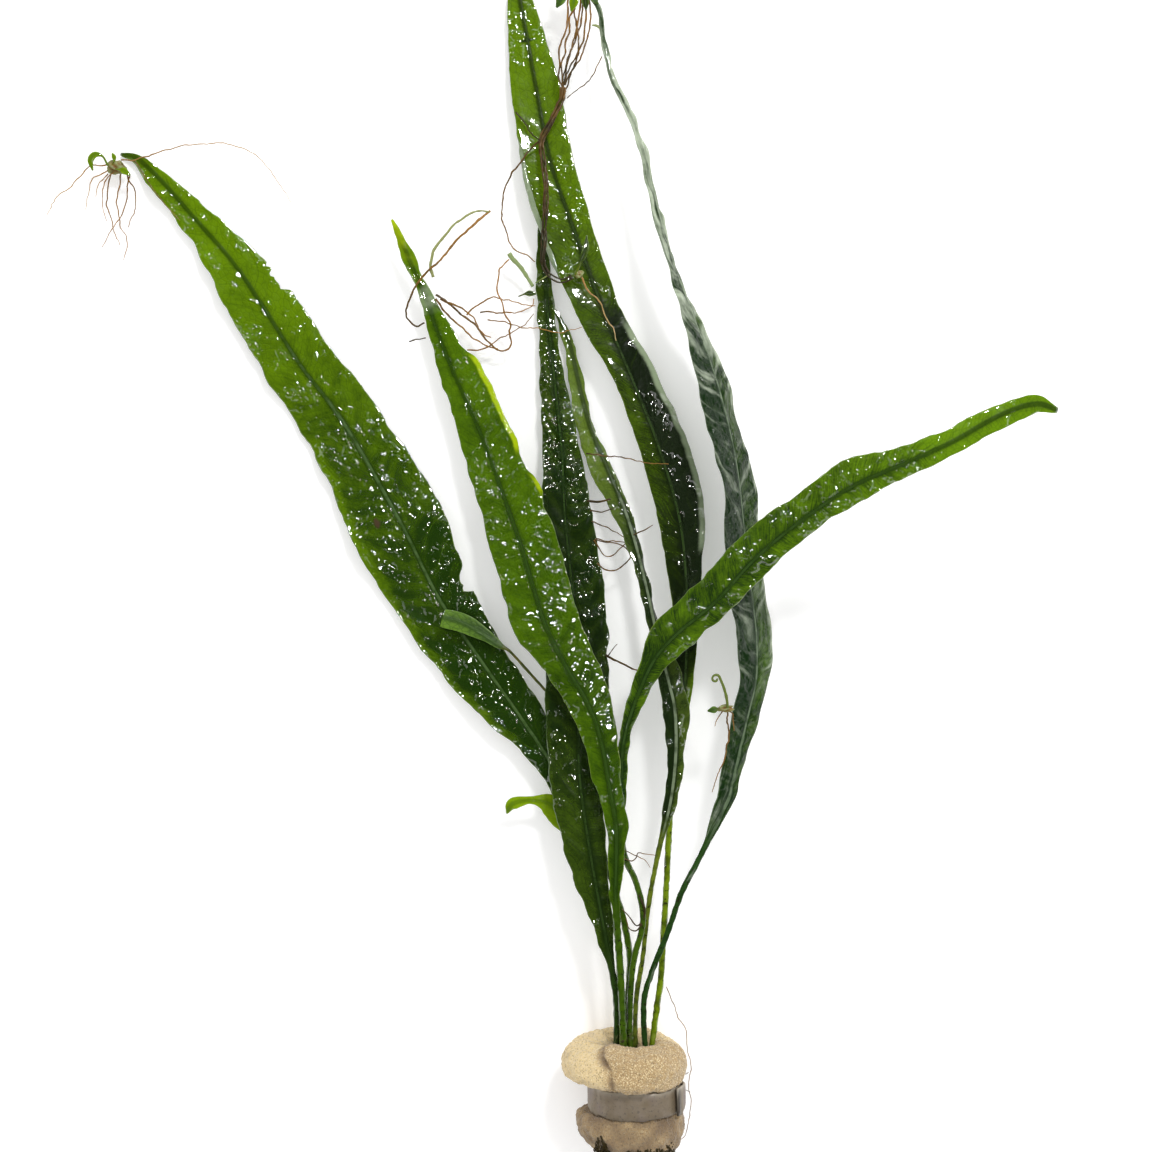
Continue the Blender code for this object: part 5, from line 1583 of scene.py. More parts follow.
            wet=[(0.0, 0.0, 0.0), (0.38, 0.0, 0.1), (0.46, 0.0, 0.3), (0.56, 0.0, 0.3), (0.62, 0.1, 0.1), (0.68, 0.2, 0.2),
                 (0.78, 0.28, 0.3), (0.82, 0.0, 0.0), (0.89, -0.1, -0.1), (0.92, 0.4, 0.4), (1.0, 0.35, 0.35)],
            hems=[Hem(Side.LEFT, 0.70, 0.85, 2.4, 165, 0.03), Hem(Side.RIGHT, 0.44, 0.66, 1.6, -6, 0.05)],
            bands=[Band(Side.LEFT, 0.70, 0.85, 2.6, Tint.PALE, 0.65), Band(Side.RIGHT, 0.43, 0.67, 2.6, Tint.PALE, 0.80)],
            spots=[Spot(0.925, 0.0, 0.5, 2.5, Tint.DEEP, 0.7)],
        ),
        Frond(
            "frond_right", "frond_blue_green", BLUE_GREEN, 0.7, 0.19, seed=6, quilt=0.65, ruffle=0.3, twist=5.0,
            wander=0.14,
            rib=[
                (5.5, 0.5, 16.6), (4.9, 14.7, 16.8), (6.6, 22.5, 17.5), (10.5, 32.3, 17.6), (14.4, 43, 16.8),
                (18.7, 51, 15.6), (22.3, 58, 14.6), (26, 66, 13.4), (29.2, 78.5, 11.8), (31.7, 88.5, 10.8),
                (33.4, 96, 10.3), (33.5, 106, 10.2), (32.4, 116, 10.6), (30.5, 131, 11.6), (28, 151, 13),
                (23.7, 168.7, 14.2), (18.4, 183.8, 14.8), (12.6, 199, 15), (8.3, 214, 15), (5, 228, 14.4),
                (1.6, 238.3, 13.4), (-3, 248.7, 12.2), (-5, 257.7, 11.2), (-6, 265.5, 10), (-8.2, 269.3, 9),
            ],
            blade=[
                (0.00, 0.7, 0.7, 0, 0), (0.19, 0.7, 0.7, 0, 0), (0.22, 2.0, 1.2, 20, -20),
                (0.25, 3.2, 2.2, 30, -30), (0.295, 4.6, 3.2, 42, -42), (0.33, 6.2, 4.6, 50, -50),
                (0.36, 7.0, 6.4, 54, -54), (0.395, 9.4, 8.4, 54, -56), (0.43, 10.6, 9.6, 54, -58),
                (0.485, 10.2, 9.6, 57, -60), (0.555, 10.6, 9.4, 54, -60), (0.62, 9.2, 8.0, 56, -60),
                (0.68, 6.8, 5.0, 62, -62), (0.735, 4.6, 3.0, 62, -64), (0.79, 3.0, 1.8, 60, -64),
                (0.845, 1.7, 1.2, 56, -60), (0.885, 1.1, 0.8, 40, -40), (0.925, 0.8, 0.7, 0, 0),
                (0.985, 0.6, 0.6, 0, 0), (1.00, 0.4, 0.4, 0, 0),
            ],
            # The pale column here and the pale bands below are painted sheen: the white board's reflection in this
            # steep wet blade.
            tone=[
                (0.0, 0.5, 0.5, 0, 0), (0.2, 0.7, 0.6, 0, 0), (0.3, 0.9, 0.6, 0, 0), (0.37, 1.0, 0.5, 0, 0),
                (0.45, 1.05, 0.65, 0, 0.05), (0.6, 1.0, 0.7, 0, 0.12), (0.70, 0.9, 0.6, 0, 0.35), (0.85, 0.7, 0.4, 0, 0.55),
                (0.92, 0.5, 0.4, 0, 0.42), (1.0, 0.3, 0.3, 0, 0.4),
            ],
            wet=[(0.0, 0.1, 0.1), (0.26, 0.5, 0.4), (0.35, 1.0, 0.6), (0.80, 1.0, 0.6), (0.88, 0.5, 0.5), (1.0, 0.3, 0.3)],
            bands=[
                Band(Side.RIGHT, 0.62, 0.96, 1.6, Tint.PALE, 0.80), Band(Side.RIGHT, 0.36, 0.70, 3.4, Tint.PALE, 0.46),
                Band(Side.LEFT, 0.80, 0.98, 0.5, Tint.PALE, 0.6),
            ],
        ),
        Frond(
            "frond_reaching", "frond_bright", HIGH_GREEN, 0.75, 0.245, seed=7, quilt=0.26, ruffle=0.45,
            rib=[
                (1.5, 1, 16.8), (1.5, 16.5, 16.9), (2.5, 26.5, 17.1), (4.7, 36.3, 17.2), (3, 45.5, 16.2),
                (0.3, 51.5, 15), (-1, 61, 14.5), (-0.7, 72, 14.6), (0, 81, 15.6), (2.4, 90, 18.8), (6.7, 100.5, 21.8),
                (12.3, 107.5, 24), (21.8, 115.7, 27), (31, 126, 30), (41.5, 135, 33), (53, 143, 36),
                (64.5, 148.2, 39), (75.7, 153.2, 41), (87.3, 159.7, 41.5), (96, 162.5, 40), (102, 161.4, 37),
            ],
            blade=[
                (0.00, 0.75, 0.75, 0, 0), (0.245, 0.75, 0.75, 0, 0), (0.275, 1.1, 1.2, 0, 0),
                (0.325, 1.3, 1.6, 0, 0), (0.365, 1.4, 1.5, 0, -4), (0.41, 1.9, 2.1, 4, -6),
                (0.46, 2.8, 3.6, 12, -18), (0.505, 5.7, 4.7, 12, -16), (0.56, 6.2, 4.2, 10, -12),
                (0.625, 6.3, 4.9, 10, -12), (0.69, 5.6, 4.2, 8, -12), (0.755, 6.4, 4.5, 10, -14),
                (0.81, 4.4, 3.5, 8, -14), (0.87, 3.2, 3.0, 6, -12), (0.93, 2.7, 3.3, 6, -14),
                (0.97, 1.9, 2.5, 0, -18), (1.00, 0.6, 0.8, 0, 0),
            ],
            tone=[
                (0.0, 0.7, 0.7, 0, 0), (0.25, 0.7, 0.7, 0, 0), (0.4, 0.64, 0.60, 0, 0), (0.5, 0.64, 0.58, 0, 0),
                (0.6, 0.64, 0.56, 0, 0), (0.7, 0.54, 0.50, 0, 0), (0.8, 0.30, 0.32, 0, 0), (0.9, 0.1, 0.12, 0, 0),
                (1.0, 0.05, 0.05, 0.15, 0),
            ],
            wet=[(0.0, 0.1, 0.1), (0.45, 0.1, 0.1), (0.50, 0.3, 0.3), (0.68, 0.25, 0.25), (0.72, 0.6, 0.7),
                 (0.81, 0.7, 0.7), (0.85, 0.2, 0.2), (1.0, 0.1, 0.1)],
        ),
        Frond(
            "young_leaf_yellow", "young_leaf", YOUNG_YELLOW, 0.5, 0.62, seed=8, quilt=0.12, ruffle=0.3,
            ring_step=0.45, widening=5.0, rib_high=0.15, rib_low=0.4,
            rib=[
                (-0.6, -0.5, 12.3), (-0.9, 25, 11), (-4.5, 40, 9.2), (-9, 52.5, 6.8), (-14.5, 59.5, 5.8),
                (-18.8, 63.6, 5.9), (-22, 64.6, 7.0), (-25.5, 64.6, 7.2), (-28.4, 63.6, 7), (-29.7, 61.2, 5.4),
            ],
            blade=[
                (0.00, 0.5, 0.5, 0, 0), (0.62, 0.55, 0.55, 0, 0), (0.70, 2.4, 2.8, -8, 0),
                (0.77, 3.6, 3.4, -10, -2), (0.84, 3.0, 2.6, -8, 8), (0.90, 1.0, 1.0, 0, 20),
                (0.95, 1.7, 1.7, 0, 0), (1.00, 0.3, 0.3, 0, 0),
            ],
            tone=[(0.0, 0.6, 0.6, 0, 0), (0.6, 0.6, 0.6, 0, 0), (0.75, 0.5, 0.6, 0, 0), (0.9, 0.1, 0.2, 0, 0),
                  (1.0, 0.4, 0.4, 0, 0)],
        ),
        Frond(
            "young_leaf_green", "young_leaf", YOUNG_GREEN, 0.35, 0.50, seed=9, quilt=0.14, ruffle=0.15,
            ring_step=0.4, widening=5.0, rib_high=0.1, rib_low=0.3, wander=0.12,
            rib=[
                (-14.8, 87.8, 7.2), (-20, 93, 7.1), (-25, 98.5, 7.1), (-29, 102.8, 7.2), (-31.5, 104.3, 7.3),
                (-36.2, 107.5, 7.7), (-40.8, 109.9, 8), (-46, 111.5, 7.6),
            ],
            blade=[
                (0.00, 0.35, 0.35, 0, 0), (0.50, 0.4, 0.4, 0, 0), (0.60, 1.0, 1.0, 0, 0),
                (0.70, 1.5, 1.7, 0, 6), (0.80, 2.1, 2.3, -4, 8), (0.90, 2.5, 2.4, -6, 4), (0.97, 2.6, 2.3, -2, 2),
                (1.00, 2.5, 2.0, 0, 0),
            ],
            tone=[(0.0, 0.4, 0.4, 0, 0), (0.5, 0.4, 0.4, 0, 0), (0.7, 0.3, 0.5, 0, 0), (1.0, 0.1, 0.3, 0, 0)],
        ),
    ]


def root_groups() -> list[RootGroup]:
    """The roots of the young plants, and the single roots between the fronds."""
    return [
        RootGroup("far_left_tip_roots", [
            Strand([(-132.6, 228, 4), (-137.5, 227.3, 3.6), (-142, 223.5, 2.6), (-146, 220, 1.6), (-149.5, 215.5, 0.8)],
                   0.20, 0.08, (0.3, 0.0), fade=0.5, seed=11),
            Strand([(-132.6, 226.6, 3.6), (-136.4, 224.6, 2.6), (-138, 221, 1.6), (-139.2, 217, 0.8)], 0.18, 0.07, (0.2, 0.0), fade=0.6, seed=12),
            Strand([(-132.8, 225.8, 3), (-135.2, 223.7, 2.2), (-136.5, 220.4, 1.2)], 0.18, 0.08, (0.5, 0.1), fade=0.4, seed=13),
            Strand([(-132, 226, 3), (-133.4, 218.3, 2), (-132.2, 213.4, 1.2), (-130.4, 207.8, 0.7)], 0.20, 0.09, (0.6, 0.2), seed=14),
            Strand([(-129.6, 226, 3), (-130.6, 218.3, 2), (-130.1, 213.4, 1.2), (-128.4, 209.6, 0.9), (-129.4, 204, 0.6)],
                   0.20, 0.08, (0.5, 0.1), seed=15),
            Strand([(-127, 225.3, 3.6), (-128.3, 218.6, 2.6), (-132, 212.4, 1.4), (-135, 207.4, 0.7)], 0.20, 0.08, (0.5, 0.2), seed=16),
            Strand([(-127.6, 226, 4), (-126.2, 222, 3), (-126.6, 217.6, 2), (-128.1, 212.4, 1)], 0.20, 0.09, (0.6, 0.3), seed=17),
            Strand([(-130.4, 226.8, 4), (-134.2, 222.6, 2.4), (-134.6, 217.4, 1.4), (-133.8, 214.2, 0.8)], 0.17, 0.07, (0.4, 0.1), seed=18),
            Strand([(-129, 229, 4.6), (-122.4, 229.8, 5.2), (-118.6, 230.8, 6), (-110.2, 232.2, 7), (-102, 232.6, 7.6),
                    (-96.4, 231, 6.8), (-92.2, 228, 5.4), (-88.8, 223.2, 3.4), (-85.7, 218.5, 1)],
                   0.18, 0.07, (0.4, 0.0), fade=0.6, wave=0.25, seed=19),
            Strand([(-126.1, 229.1, 4.2), (-124.5, 227.6, 4.4), (-121.5, 222.4, 4.2), (-117.3, 217, 4.2), (-114, 213.6, 4)],
                   0.15, 0.08, (0.7, 0.5), wave=0.15, seed=20),
        ], ("plantlet_far_left_tip",)),
        RootGroup("left_neck_roots", [
            Strand([(-48.4, 198.2, 8.2), (-49, 201, 9), (-48.6, 203.6, 9.6), (-47.4, 206, 9.8), (-44.7, 209.1, 10.2),
                    (-42.2, 211.6, 10.2), (-39.4, 213.9, 10), (-36.7, 214.9, 9.4), (-34.2, 214.8, 8.2)],
                   0.42, 0.24, (0.0, 0.0), green=0.8, seed=21, wave=0.15),
            Strand([(-33.9, 215.1, 8), (-37.7, 211.8, 9), (-41.8, 208, 9), (-44.8, 203.9, 9), (-47.9, 201.1, 9.4),
                    (-50.2, 198.7, 9.2), (-52.9, 195.9, 8), (-54.6, 193.2, 6.4), (-55.5, 190.2, 5), (-55.4, 187.8, 4),
                    (-53.6, 186.3, 3.4), (-51.1, 187.2, 4)], 0.34, 0.22, (0.2, 0.8), seed=22, wave=0.2),
            Strand([(-47.7, 193.6, 8.8), (-44.9, 191.9, 8.2), (-41.9, 189.8, 7), (-37.9, 186.1, 6), (-34.6, 182.1, 5),
                    (-32.1, 180.5, 4), (-29.3, 181, 4), (-28.4, 182.6, 5), (-29.2, 186.3, 6), (-30.4, 190, 7),
                    (-31.4, 193.2, 8), (-31.9, 195.7, 8), (-31.9, 199, 8), (-30.9, 201.8, 7), (-29.2, 203.2, 6)],
                   0.30, 0.17, (0.8, 0.1), seed=23),
            Strand([(-47.8, 192.6, 8.6), (-46.3, 190.5, 7.6), (-43.5, 187.9, 6.4), (-39.7, 184.2, 5), (-36.2, 182, 4), (-32.1, 180.6, 3)],
                   0.30, 0.16, (0.7, 0.0), seed=24),
            Strand([(-46.6, 192.6, 8.4), (-42.6, 190.9, 7.6), (-38.6, 188.6, 6.4), (-36, 184.4, 5.2), (-33.8, 183.4, 4.4)],
                   0.28, 0.14, (0.6, 0.1), seed=25),
            Strand([(-40, 188.8, 6.4), (-37.9, 190.9, 6.4), (-34.5, 192.8, 7), (-31.6, 192.9, 8), (-28.9, 192.3, 7),
                    (-24.8, 191.2, 6), (-22.5, 191.4, 5)], 0.22, 0.12, (0.5, 0.2), seed=26),
            Strand([(-36.6, 189.6, 5.6), (-30.4, 189.6, 6), (-27, 189.4, 6), (-23.6, 191.2, 5.4), (-22.8, 193.2, 5)],
                   0.22, 0.12, (0.6, 0.2), seed=27),
            Strand([(-34.7, 187.9, 4.6), (-30.5, 187.3, 5), (-26.6, 185.6, 6), (-22.3, 185.6, 6), (-15.8, 184.3, 6.4), (-10.5, 185.5, 8)],
                   0.17, 0.08, (0.5, 0.1), seed=28),
            Strand([(-40, 180.2, 4), (-35.8, 180.4, 4), (-32, 182.6, 4.4), (-28.2, 184.4, 5), (-25.2, 187, 5), (-22.8, 189.4, 5)],
                   0.20, 0.10, (0.3, 0.5), seed=29),
            Strand([(-54.8, 182.2, 5), (-53, 182.8, 5.8), (-50.4, 183, 6.6)], 0.20, 0.14, (0.8, 0.8), seed=30),
        ], ("plantlet_left_neck",)),
        RootGroup("top_roots", [
            Strand([(-14.6, 275.5, 9.6), (-13.9, 268, 9.4), (-14.4, 262.2, 9.2), (-16, 256, 8.8), (-16.3, 249.8, 8.6), (-15.3, 246, 8.6)],
                   0.26, 0.22, (0.1, 0.8), seed=41, wave=0.25),
            Strand([(-13.6, 275, 9.8), (-12.5, 268, 9.6), (-13.2, 262.4, 9.2), (-14.8, 256, 9), (-15.5, 250, 8.8), (-15.2, 246, 8.7)],
                   0.28, 0.22, (0.1, 0.8), seed=42, wave=0.25),
            Strand([(-12.4, 275, 9.6), (-11.2, 268, 9.6), (-11.3, 263, 9.4), (-12.6, 258, 9.2), (-14.3, 252, 8.9), (-15.2, 246.4, 8.7)],
                   0.26, 0.2, (0.2, 0.9), seed=43, wave=0.25),
            Strand([(-11.2, 275.4, 9.8), (-9.9, 268, 9.7), (-9.6, 263, 9.4), (-10.6, 257.4, 9.2), (-13.2, 252.2, 8.9), (-15, 247, 8.7)],
                   0.28, 0.2, (0.1, 0.9), seed=44, wave=0.25),
            Strand([(-10, 275.4, 9.4), (-8.5, 268, 9.4), (-8.6, 262, 9.2), (-10, 256.6, 9), (-12.6, 251.4, 8.8), (-14.8, 247, 8.6)],
                   0.24, 0.2, (0.2, 0.8), seed=45, wave=0.25),
            Strand([(-12.8, 274, 9), (-12.1, 265, 8.8), (-11.2, 258.6, 8.6), (-12.4, 252, 8.5), (-15, 245.4, 8.4)],
                   0.24, 0.2, (0.4, 0.9), seed=46, wave=0.35),
            Strand([(-10.6, 274, 9), (-10.3, 266, 8.8), (-12.2, 259, 8.6), (-14.2, 252.6, 8.5), (-15.6, 246, 8.4)],
                   0.24, 0.2, (0.4, 0.9), seed=47, wave=0.35),
            *rope_strands(),
            Strand([(-20.6, 233.6, 8.2), (-22.5, 231.9, 8), (-25.8, 228.6, 7.6), (-28.7, 224.5, 6.4), (-30.5, 220.9, 5.6),
                    (-30.8, 215.3, 5), (-30.8, 212.2, 5), (-29.5, 208.8, 5), (-27.4, 205.8, 5), (-24.9, 204.1, 4.5), (-22.6, 202.8, 4.2)],
                   0.24, 0.16, (0.8, 0.4), seed=52),
            Strand([(-27.4, 240.9, 6), (-24.3, 236.8, 6.6), (-21.5, 233.5, 7.6)], 0.20, 0.14, (0.9, 0.9), seed=53),
            Strand([(-5.4, 253.7, 10.6), (-7.9, 249.2, 9.6), (-11.7, 246.2, 8.8), (-14.3, 243.7, 8.6)], 0.16, 0.12, (0.5, 0.8), seed=54),
            Strand([(-10.8, 198.5, 8.6), (-8, 194, 8.4), (-5.4, 189.6, 8.2), (-2.8, 185.5, 8), (-1.8, 181.9, 8.5)],
                   0.24, 0.10, (0.1, 0.0), fade=0.9, seed=55),
            Strand([(-5.2, 260.2, 10.8), (-6.7, 261.3, 11), (-7.9, 261.5, 10.8)], 0.42, 0.26, (0.0, 0.0), green=0.9, wave=0.05, seed=56),
        ], ("plantlet_top",)),
        RootGroup("right_edge_roots", [
            Strand([(25.2, 89.4, 20), (25.8, 85, 18.4), (25.9, 80.4, 17), (25.2, 77.3, 16), (24.4, 74.2, 14.8), (23.2, 71.1, 13.4), (22.4, 67.4, 11.8)],
                   0.24, 0.10, (0.7, 0.3), seed=61),
            Strand([(25.6, 89, 20), (27.2, 86.6, 18.8), (27.4, 83.4, 17.8)], 0.20, 0.09, (0.8, 0.4), seed=62),
            Strand([(24.6, 89, 20), (23.2, 87, 18.8), (22.6, 84.6, 17.6)], 0.18, 0.09, (0.6, 0.3), seed=63),
        ]),
        RootGroup("centre_upper_roots", [
            Strand([(-9.4, 153.3, 7), (-4.6, 152.8, 8), (-1.1, 152.5, 9), (5.2, 151.1, 10.6), (11.4, 150.3, 11.4)], 0.19, 0.10, (0.8, 0.5), seed=71),
            Strand([(-9.2, 141.2, 7), (-5.9, 140.9, 7.4), (-3.1, 141.7, 8)], 0.34, 0.20, (0.9, 0.9), seed=72, wave=0.1),
            Strand([(-8.4, 138.8, 7), (-5.4, 138.6, 7.2), (-2.6, 139.2, 7.6)], 0.22, 0.14, (0.9, 0.8), seed=73, wave=0.15),
            Strand([(-8, 136, 6.8), (-2.4, 133.4, 7), (0.4, 131.8, 7.6)], 0.20, 0.12, (0.8, 0.6), seed=74),
            Strand([(2.6, 132.4, 8.4), (5, 133.6, 9.2), (7.6, 135, 9.8)], 0.20, 0.12, (0.8, 0.7), seed=75, wave=0.15),
        ], ("root_centre_upper",)),
        RootGroup("centre_loop_roots", [
            Strand([(-7.4, 131.2, 7.4), (-5.8, 128.4, 7), (-4.3, 127.1, 6.6), (-2.2, 127.4, 6.4), (-0.2, 129.4, 6.6), (1.3, 131.2, 7.4)],
                   0.20, 0.14, (0.7, 0.6), seed=81, wave=0.15),
            Strand([(-6.6, 125.3, 7.4), (-4.3, 123.5, 6.4), (-1.7, 123.5, 6), (0.6, 125.1, 6), (1.9, 127.1, 6.4), (-0.2, 129.8, 7.4),
                    (-4.6, 130.6, 8), (-7.2, 131.4, 8)], 0.20, 0.14, (0.6, 0.8), seed=82, wave=0.15),
            Strand([(-7, 131.6, 7.6), (-2, 131, 7.4), (1.4, 130.4, 7.6)], 0.18, 0.12, (0.8, 0.7), seed=83),
        ], ("root_centre_loop",)),
        RootGroup("centre_lower_roots", [
            Strand([(-4.4, 101.9, 9.6), (-0.9, 100.1, 12.4), (2, 99, 16), (3.6, 98.4, 18)], 0.30, 0.20, (0.9, 0.7), seed=91, wave=0.15),
            Strand([(-4, 101.6, 9.8), (-2.6, 103.6, 11), (-1.6, 104.8, 12)], 0.16, 0.10, (0.9, 0.7), seed=92, wave=0.15),
        ], ("root_centre_lower",)),
        RootGroup("stalk_roots", [
            Strand([(4.2, 35.6, 18.2), (2.9, 35.1, 18.6), (0.9, 37.6, 18.6), (-0.6, 39.4, 19.2)], 0.20, 0.12, (0.9, 0.7), seed=101, wave=0.15),
            Strand([(4.4, 35.4, 18), (3, 33.8, 18.4), (1.2, 34.6, 18.6), (0.4, 37, 18.8)], 0.18, 0.12, (0.9, 0.6), seed=102, wave=0.15),
            Strand([(4.6, 36, 17.6), (5.2, 38.4, 17.8), (4.6, 40.6, 17.8), (3.6, 42.6, 17.6)], 0.30, 0.22, (1.0, 1.0), seed=103, wave=0.1),
            Strand([(-0.3, 51.6, 16.2), (2, 51, 16.2), (4, 53, 16.4), (7.8, 52.2, 16)], 0.16, 0.09, (0.8, 0.5), seed=104),
            Strand([(0.2, 53.4, 16.2), (2.4, 52.6, 16.2), (5.2, 50.8, 16), (6.6, 49, 15.8)], 0.14, 0.08, (0.7, 0.4), seed=105),
        ]),
        RootGroup("beside_plug_root", [
            Strand([(11, 17.5, 9), (12.2, 14.5, 9), (14.2, 10.4, 9.4), (15.9, 5.6, 10), (16.6, 1, 11), (16.7, -3, 12),
                    (16.8, -9, 13), (16.6, -15, 13), (15.6, -19.5, 12), (12, -23.6, 10)], 0.11, 0.08, (0.5, 0.5), seed=111, wave=0.3),
            Strand([(16.4, -3.4, 12), (15.4, -3.8, 12.4), (14.6, -3.4, 12.6)], 0.09, 0.07, (0.9, 0.9), seed=112, wave=0.1),
            Strand([(16.7, -8, 13), (15.6, -7.4, 13.2), (14.4, -7.2, 13.4)], 0.09, 0.07, (0.9, 0.9), seed=113, wave=0.1),
        ], ("root_beside_plug",)),
        RootGroup("green_stub", [
            Strand([(-29.2, 204.8, 5.4), (-28.4, 203.6, 5.2), (-26.6, 201.6, 4.6), (-24.6, 199, 4), (-23.1, 196.6, 3.8)],
                   0.62, 0.42, (0.0, 0.0), green=1.0, seed=121, wave=0.1, sides=10),
            Strand([(-22.4, 197.4, 4.4), (-20.6, 198.4, 4.8), (-18.4, 199.6, 5.4)], 0.20, 0.14, (0.0, 0.2), fade=0.4, seed=122, wave=0.1),
        ], ("stem_stub_green",), RootFinish("stub_skin", young=(0.13, 0.22, 0.03))),
    ]


def rope_strands() -> list[Strand]:
    """The dark rope of roots that runs down frond_top: strands that wind round one path."""
    route = [(-15.3, 246.4, 8.7), (-15.8, 242.9, 8.6), (-17.6, 239.1, 8.4), (-19.7, 235, 8.3), (-20.9, 231.4, 8.3),
             (-20.2, 226.6, 8.5), (-19.7, 220.2, 8.7), (-20.2, 207.7, 8.9), (-20.4, 202.6, 8.9), (-19.1, 199, 8.8),
             (-15.3, 197, 8.8), (-13.3, 198, 9), (-11.2, 199, 9.2)]
    path, length = smooth_path(route, 60)
    left, up = frames_along(path + np.array([0.0, 0.0, 1e-4]))
    strands = []
    for number in range(4):
        turn = np.linspace(0.0, length / 9.0, 60) + number * pi / 2
        wound = path + 0.52 * (left * np.cos(turn)[:, None] + up * np.sin(turn)[:, None])
        strands.append(Strand([tuple(point) for point in wound[::3]], 0.38 - 0.04 * number, 0.18, (0.7, 1.0),
                              wave=0.18, seed=131 + number))
    return strands


def sprout(name: str, rib: list[Point], wide: float, seed: int, finish: LeafFinish = YOUNG_YELLOW) -> Frond:
    """A small leaf of a young plant.

    Args:
        name: The leaf's name.
        rib: Its midrib from foot to tip.
        wide: Its greatest half width.
        seed: Start of its random draws.
        finish: Its finish.

    Returns:
        The leaf.
    """
    blade = [(0.0, 0.3, 0.3, 0, 0), (0.25, 0.35, 0.35, 10, 10), (0.6, wide, wide, 18, 18), (1.0, 0.2, 0.2, 0, 0)]
    tone = [(0.0, 0.6, 0.6, 0, 0), (1.0, 0.2, 0.2, 0, 0)]
    return Frond(name, "young_leaf", finish, 0.28, 0.2, rib, blade, tone, seed, quilt=0.05, ruffle=0.12, wander=0.06,
                 twist=10.0, rib_high=0.06, rib_low=0.15, ring_step=0.3, widening=2.0, replaces=False)


def sprouts() -> list[Frond]:
    """The leaves of the young plants."""
    return [
        sprout("far_left_curl", [(-132.4, 227.6, 4.4), (-133.4, 229.6, 5.8), (-135.2, 230, 6), (-136.6, 228.6, 5.4), (-136.4, 226.4, 4.2)], 0.9, 31),
        sprout("far_left_shoot", [(-131.4, 227.6, 4.4), (-130.6, 229, 5), (-131, 230.6, 5.2)], 0.7, 32),
        sprout("far_left_leaf", [(-131, 226.8, 4.4), (-128.4, 226.2, 5), (-126.6, 225, 4.8)], 0.9, 33),
        sprout("top_leaf_1", [(-12.4, 270.4, 10), (-14.6, 272.4, 10.8), (-17.2, 272.8, 10.4)], 1.3, 34, YOUNG_GREEN),
        sprout("top_leaf_2", [(-11.4, 271, 10.2), (-11.8, 274.6, 11.2), (-10.8, 278.4, 10.6)], 1.4, 35),
        sprout("top_leaf_3", [(-10.6, 270.6, 10), (-8.2, 272.4, 11), (-6.4, 275.2, 10.6)], 1.2, 36, YOUNG_GREEN),
        sprout("top_leaf_4", [(-12, 271.6, 10), (-14.4, 275.4, 10.8), (-15.4, 278.8, 10)], 1.2, 37),
        sprout("top_leaf_5", [(-10.4, 269.6, 10), (-8, 269.4, 10.4), (-6.2, 268.2, 10.2)], 1.0, 38, OLIVE),
        sprout("top_leaf_6", [(-13.4, 271, 10.6), (-15.2, 268.8, 11), (-17, 266.2, 10.2)], 1.3, 42, YOUNG_GREEN),
        sprout("top_leaf_7", [(-12.2, 271, 11), (-12.4, 268, 11.4), (-13.2, 265, 10.8)], 1.2, 43),
        sprout("top_leaf_8", [(-10.8, 271, 10.6), (-9.8, 268.4, 11), (-9.4, 265.6, 10.4)], 1.1, 44, OLIVE),
        sprout("top_leaf_9", [(-9.8, 271.2, 10.2), (-8.2, 269.2, 10.6), (-6.4, 267, 10.2)], 1.0, 45, YOUNG_GREEN),
        sprout("mid_leaf", [(-12.2, 198.6, 9), (-10.8, 201.8, 9.6), (-9.6, 205, 9.6), (-9.3, 208.6, 8.8)], 0.9, 39, OLIVE),
        sprout("stub_leaf", [(-26.8, 194, 4), (-24.8, 194.6, 4.6), (-22.2, 194.6, 4.6)], 0.8, 40, OLIVE),
        sprout("right_edge_leaf", [(24.8, 89.4, 20), (22.4, 89, 20.6), (20.6, 88.6, 20.2)], 0.9, 41, YOUNG_GREEN),
    ]


@dataclass
class Fiddlehead:
    """A young frond that is still coiled: a tapering stem that ends in a curl."""

    name: str = "right_edge_fiddlehead"
    stem: tuple[Point, ...] = ((25.6, 89, 20), (25.3, 91, 21), (24.6, 94, 21.6), (23.6, 96.6, 21.8))
    curl: tuple[float, float, float] = (22.4, 96.6, 21.8)
    radius: float = 1.15
    turns: float = 1.0

    def build(self) -> bpy.types.Object:
        """The fiddlehead as one tapering tube."""
        points = list(self.stem)
        for step in range(1, 15):
            share = step / 14
            angle = radians(20) + 2 * pi * self.turns * share
            reach = self.radius * (1 - 0.72 * share)
            points.append((self.curl[0] + reach * cos(angle), self.curl[1] + reach * sin(angle), self.curl[2]))
        draft = MeshDraft()
        Strand(points, 0.42, 0.26, (0.0, 0.0), green=0.9, wave=0.05, seed=141, sides=10, step=0.25).add_to(draft)
        finish = RootFinish("fiddlehead_skin", young=(0.12, 0.15, 0.03), green=(0.11, 0.15, 0.025))
        return draft.build(self.name, finish.material(), "young_leaf", ("plantlet_right_edge",))


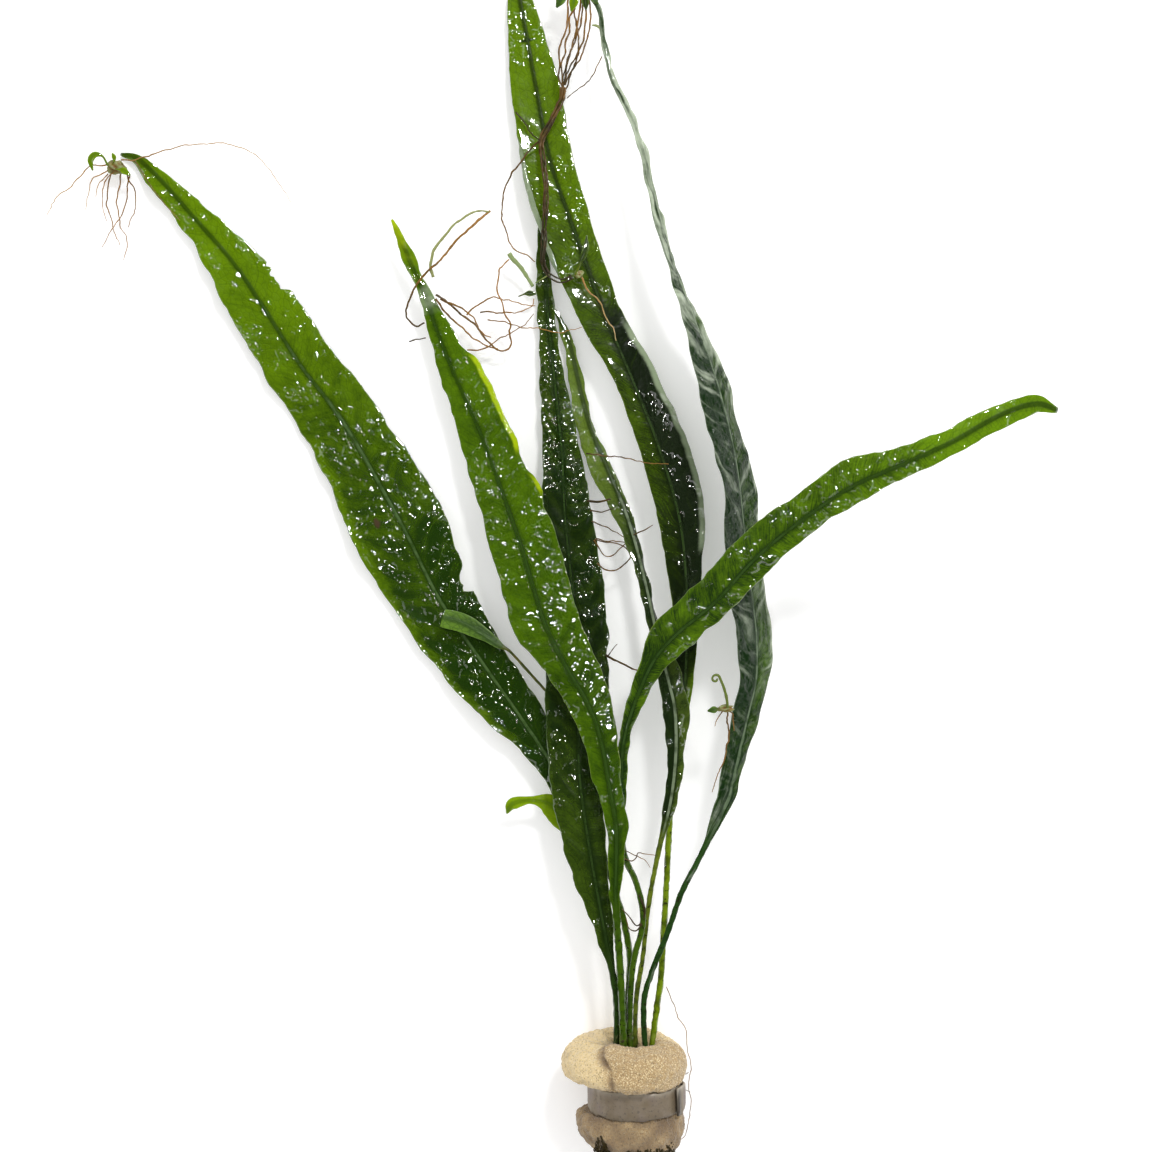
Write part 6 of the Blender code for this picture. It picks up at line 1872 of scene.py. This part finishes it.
@dataclass
class Crown:
    """The knot of small scales where a young plant's roots and leaves meet."""

    name: str
    centre: Point
    half: Point
    seed: int
    rings: int = 26
    sides: int = 30

    def build(self) -> bpy.types.Object:
        """The crown as one lumpy closed piece."""
        polar = np.linspace(0.04, pi - 0.04, self.rings)[:, None]
        turn = np.linspace(0.0, 2 * pi, self.sides, endpoint=False)[None, :]
        unit = np.stack([np.sin(polar) * np.cos(turn), np.sin(polar) * np.sin(turn), np.cos(polar) + 0 * turn], axis=-1)
        lump = 1 + 0.22 * SmoothNoise(self.seed, 0.9).at(unit[..., 0], unit[..., 1], unit[..., 2])
        grid = np.array(self.centre) + unit * np.array(self.half) * lump[:, :, None]
        shape = lump.shape
        draft = MeshDraft()
        draft.add_grid(grid, {"ripe": np.full(shape, 0.55), "green": np.clip(lump * 1.6 - 1.2, 0, 0.8), "fade": np.zeros(shape)})
        return draft.build(self.name, RootFinish("crown_scales").material(), "root")


def crowns() -> list[Crown]:
    """The crowns of the young plants."""
    return [
        Crown("far_left_crown", (-130.6, 227.4, 3.6), (2.1, 1.7, 1.3), 151),
        Crown("top_crown", (-11.8, 271.8, 9.6), (3.2, 3.0, 1.5), 153),
        Crown("right_edge_crown", (24.9, 89.2, 19.8), (2.0, 0.9, 0.8), 154),
        Crown("mid_crown", (-11.2, 198.8, 8.8), (1.1, 1.0, 0.6), 155),
    ]


def dress_rhizome() -> None:
    """Gives the creeping stem in the foam its dark skin."""
    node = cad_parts["rhizome"]
    node.data.materials.clear()
    node.data.materials.append(BarkFinish().material())


def main() -> None:
    """Builds the stage and every piece of the bunch."""
    logging.basicConfig(level=logging.INFO, format="%(message)s")
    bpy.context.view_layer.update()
    Studio().build()
    for frond in fronds():
        frond.build()
    for leaf in sprouts():
        leaf.build()
    for group in root_groups():
        group.build()
    for crown in crowns():
        crown.build()
    Fiddlehead().build()
    FoamWrap().build()
    WeightStrip().build()
    RootTuft().build()
    dress_rhizome()


if __name__ == "__main__":
    main()
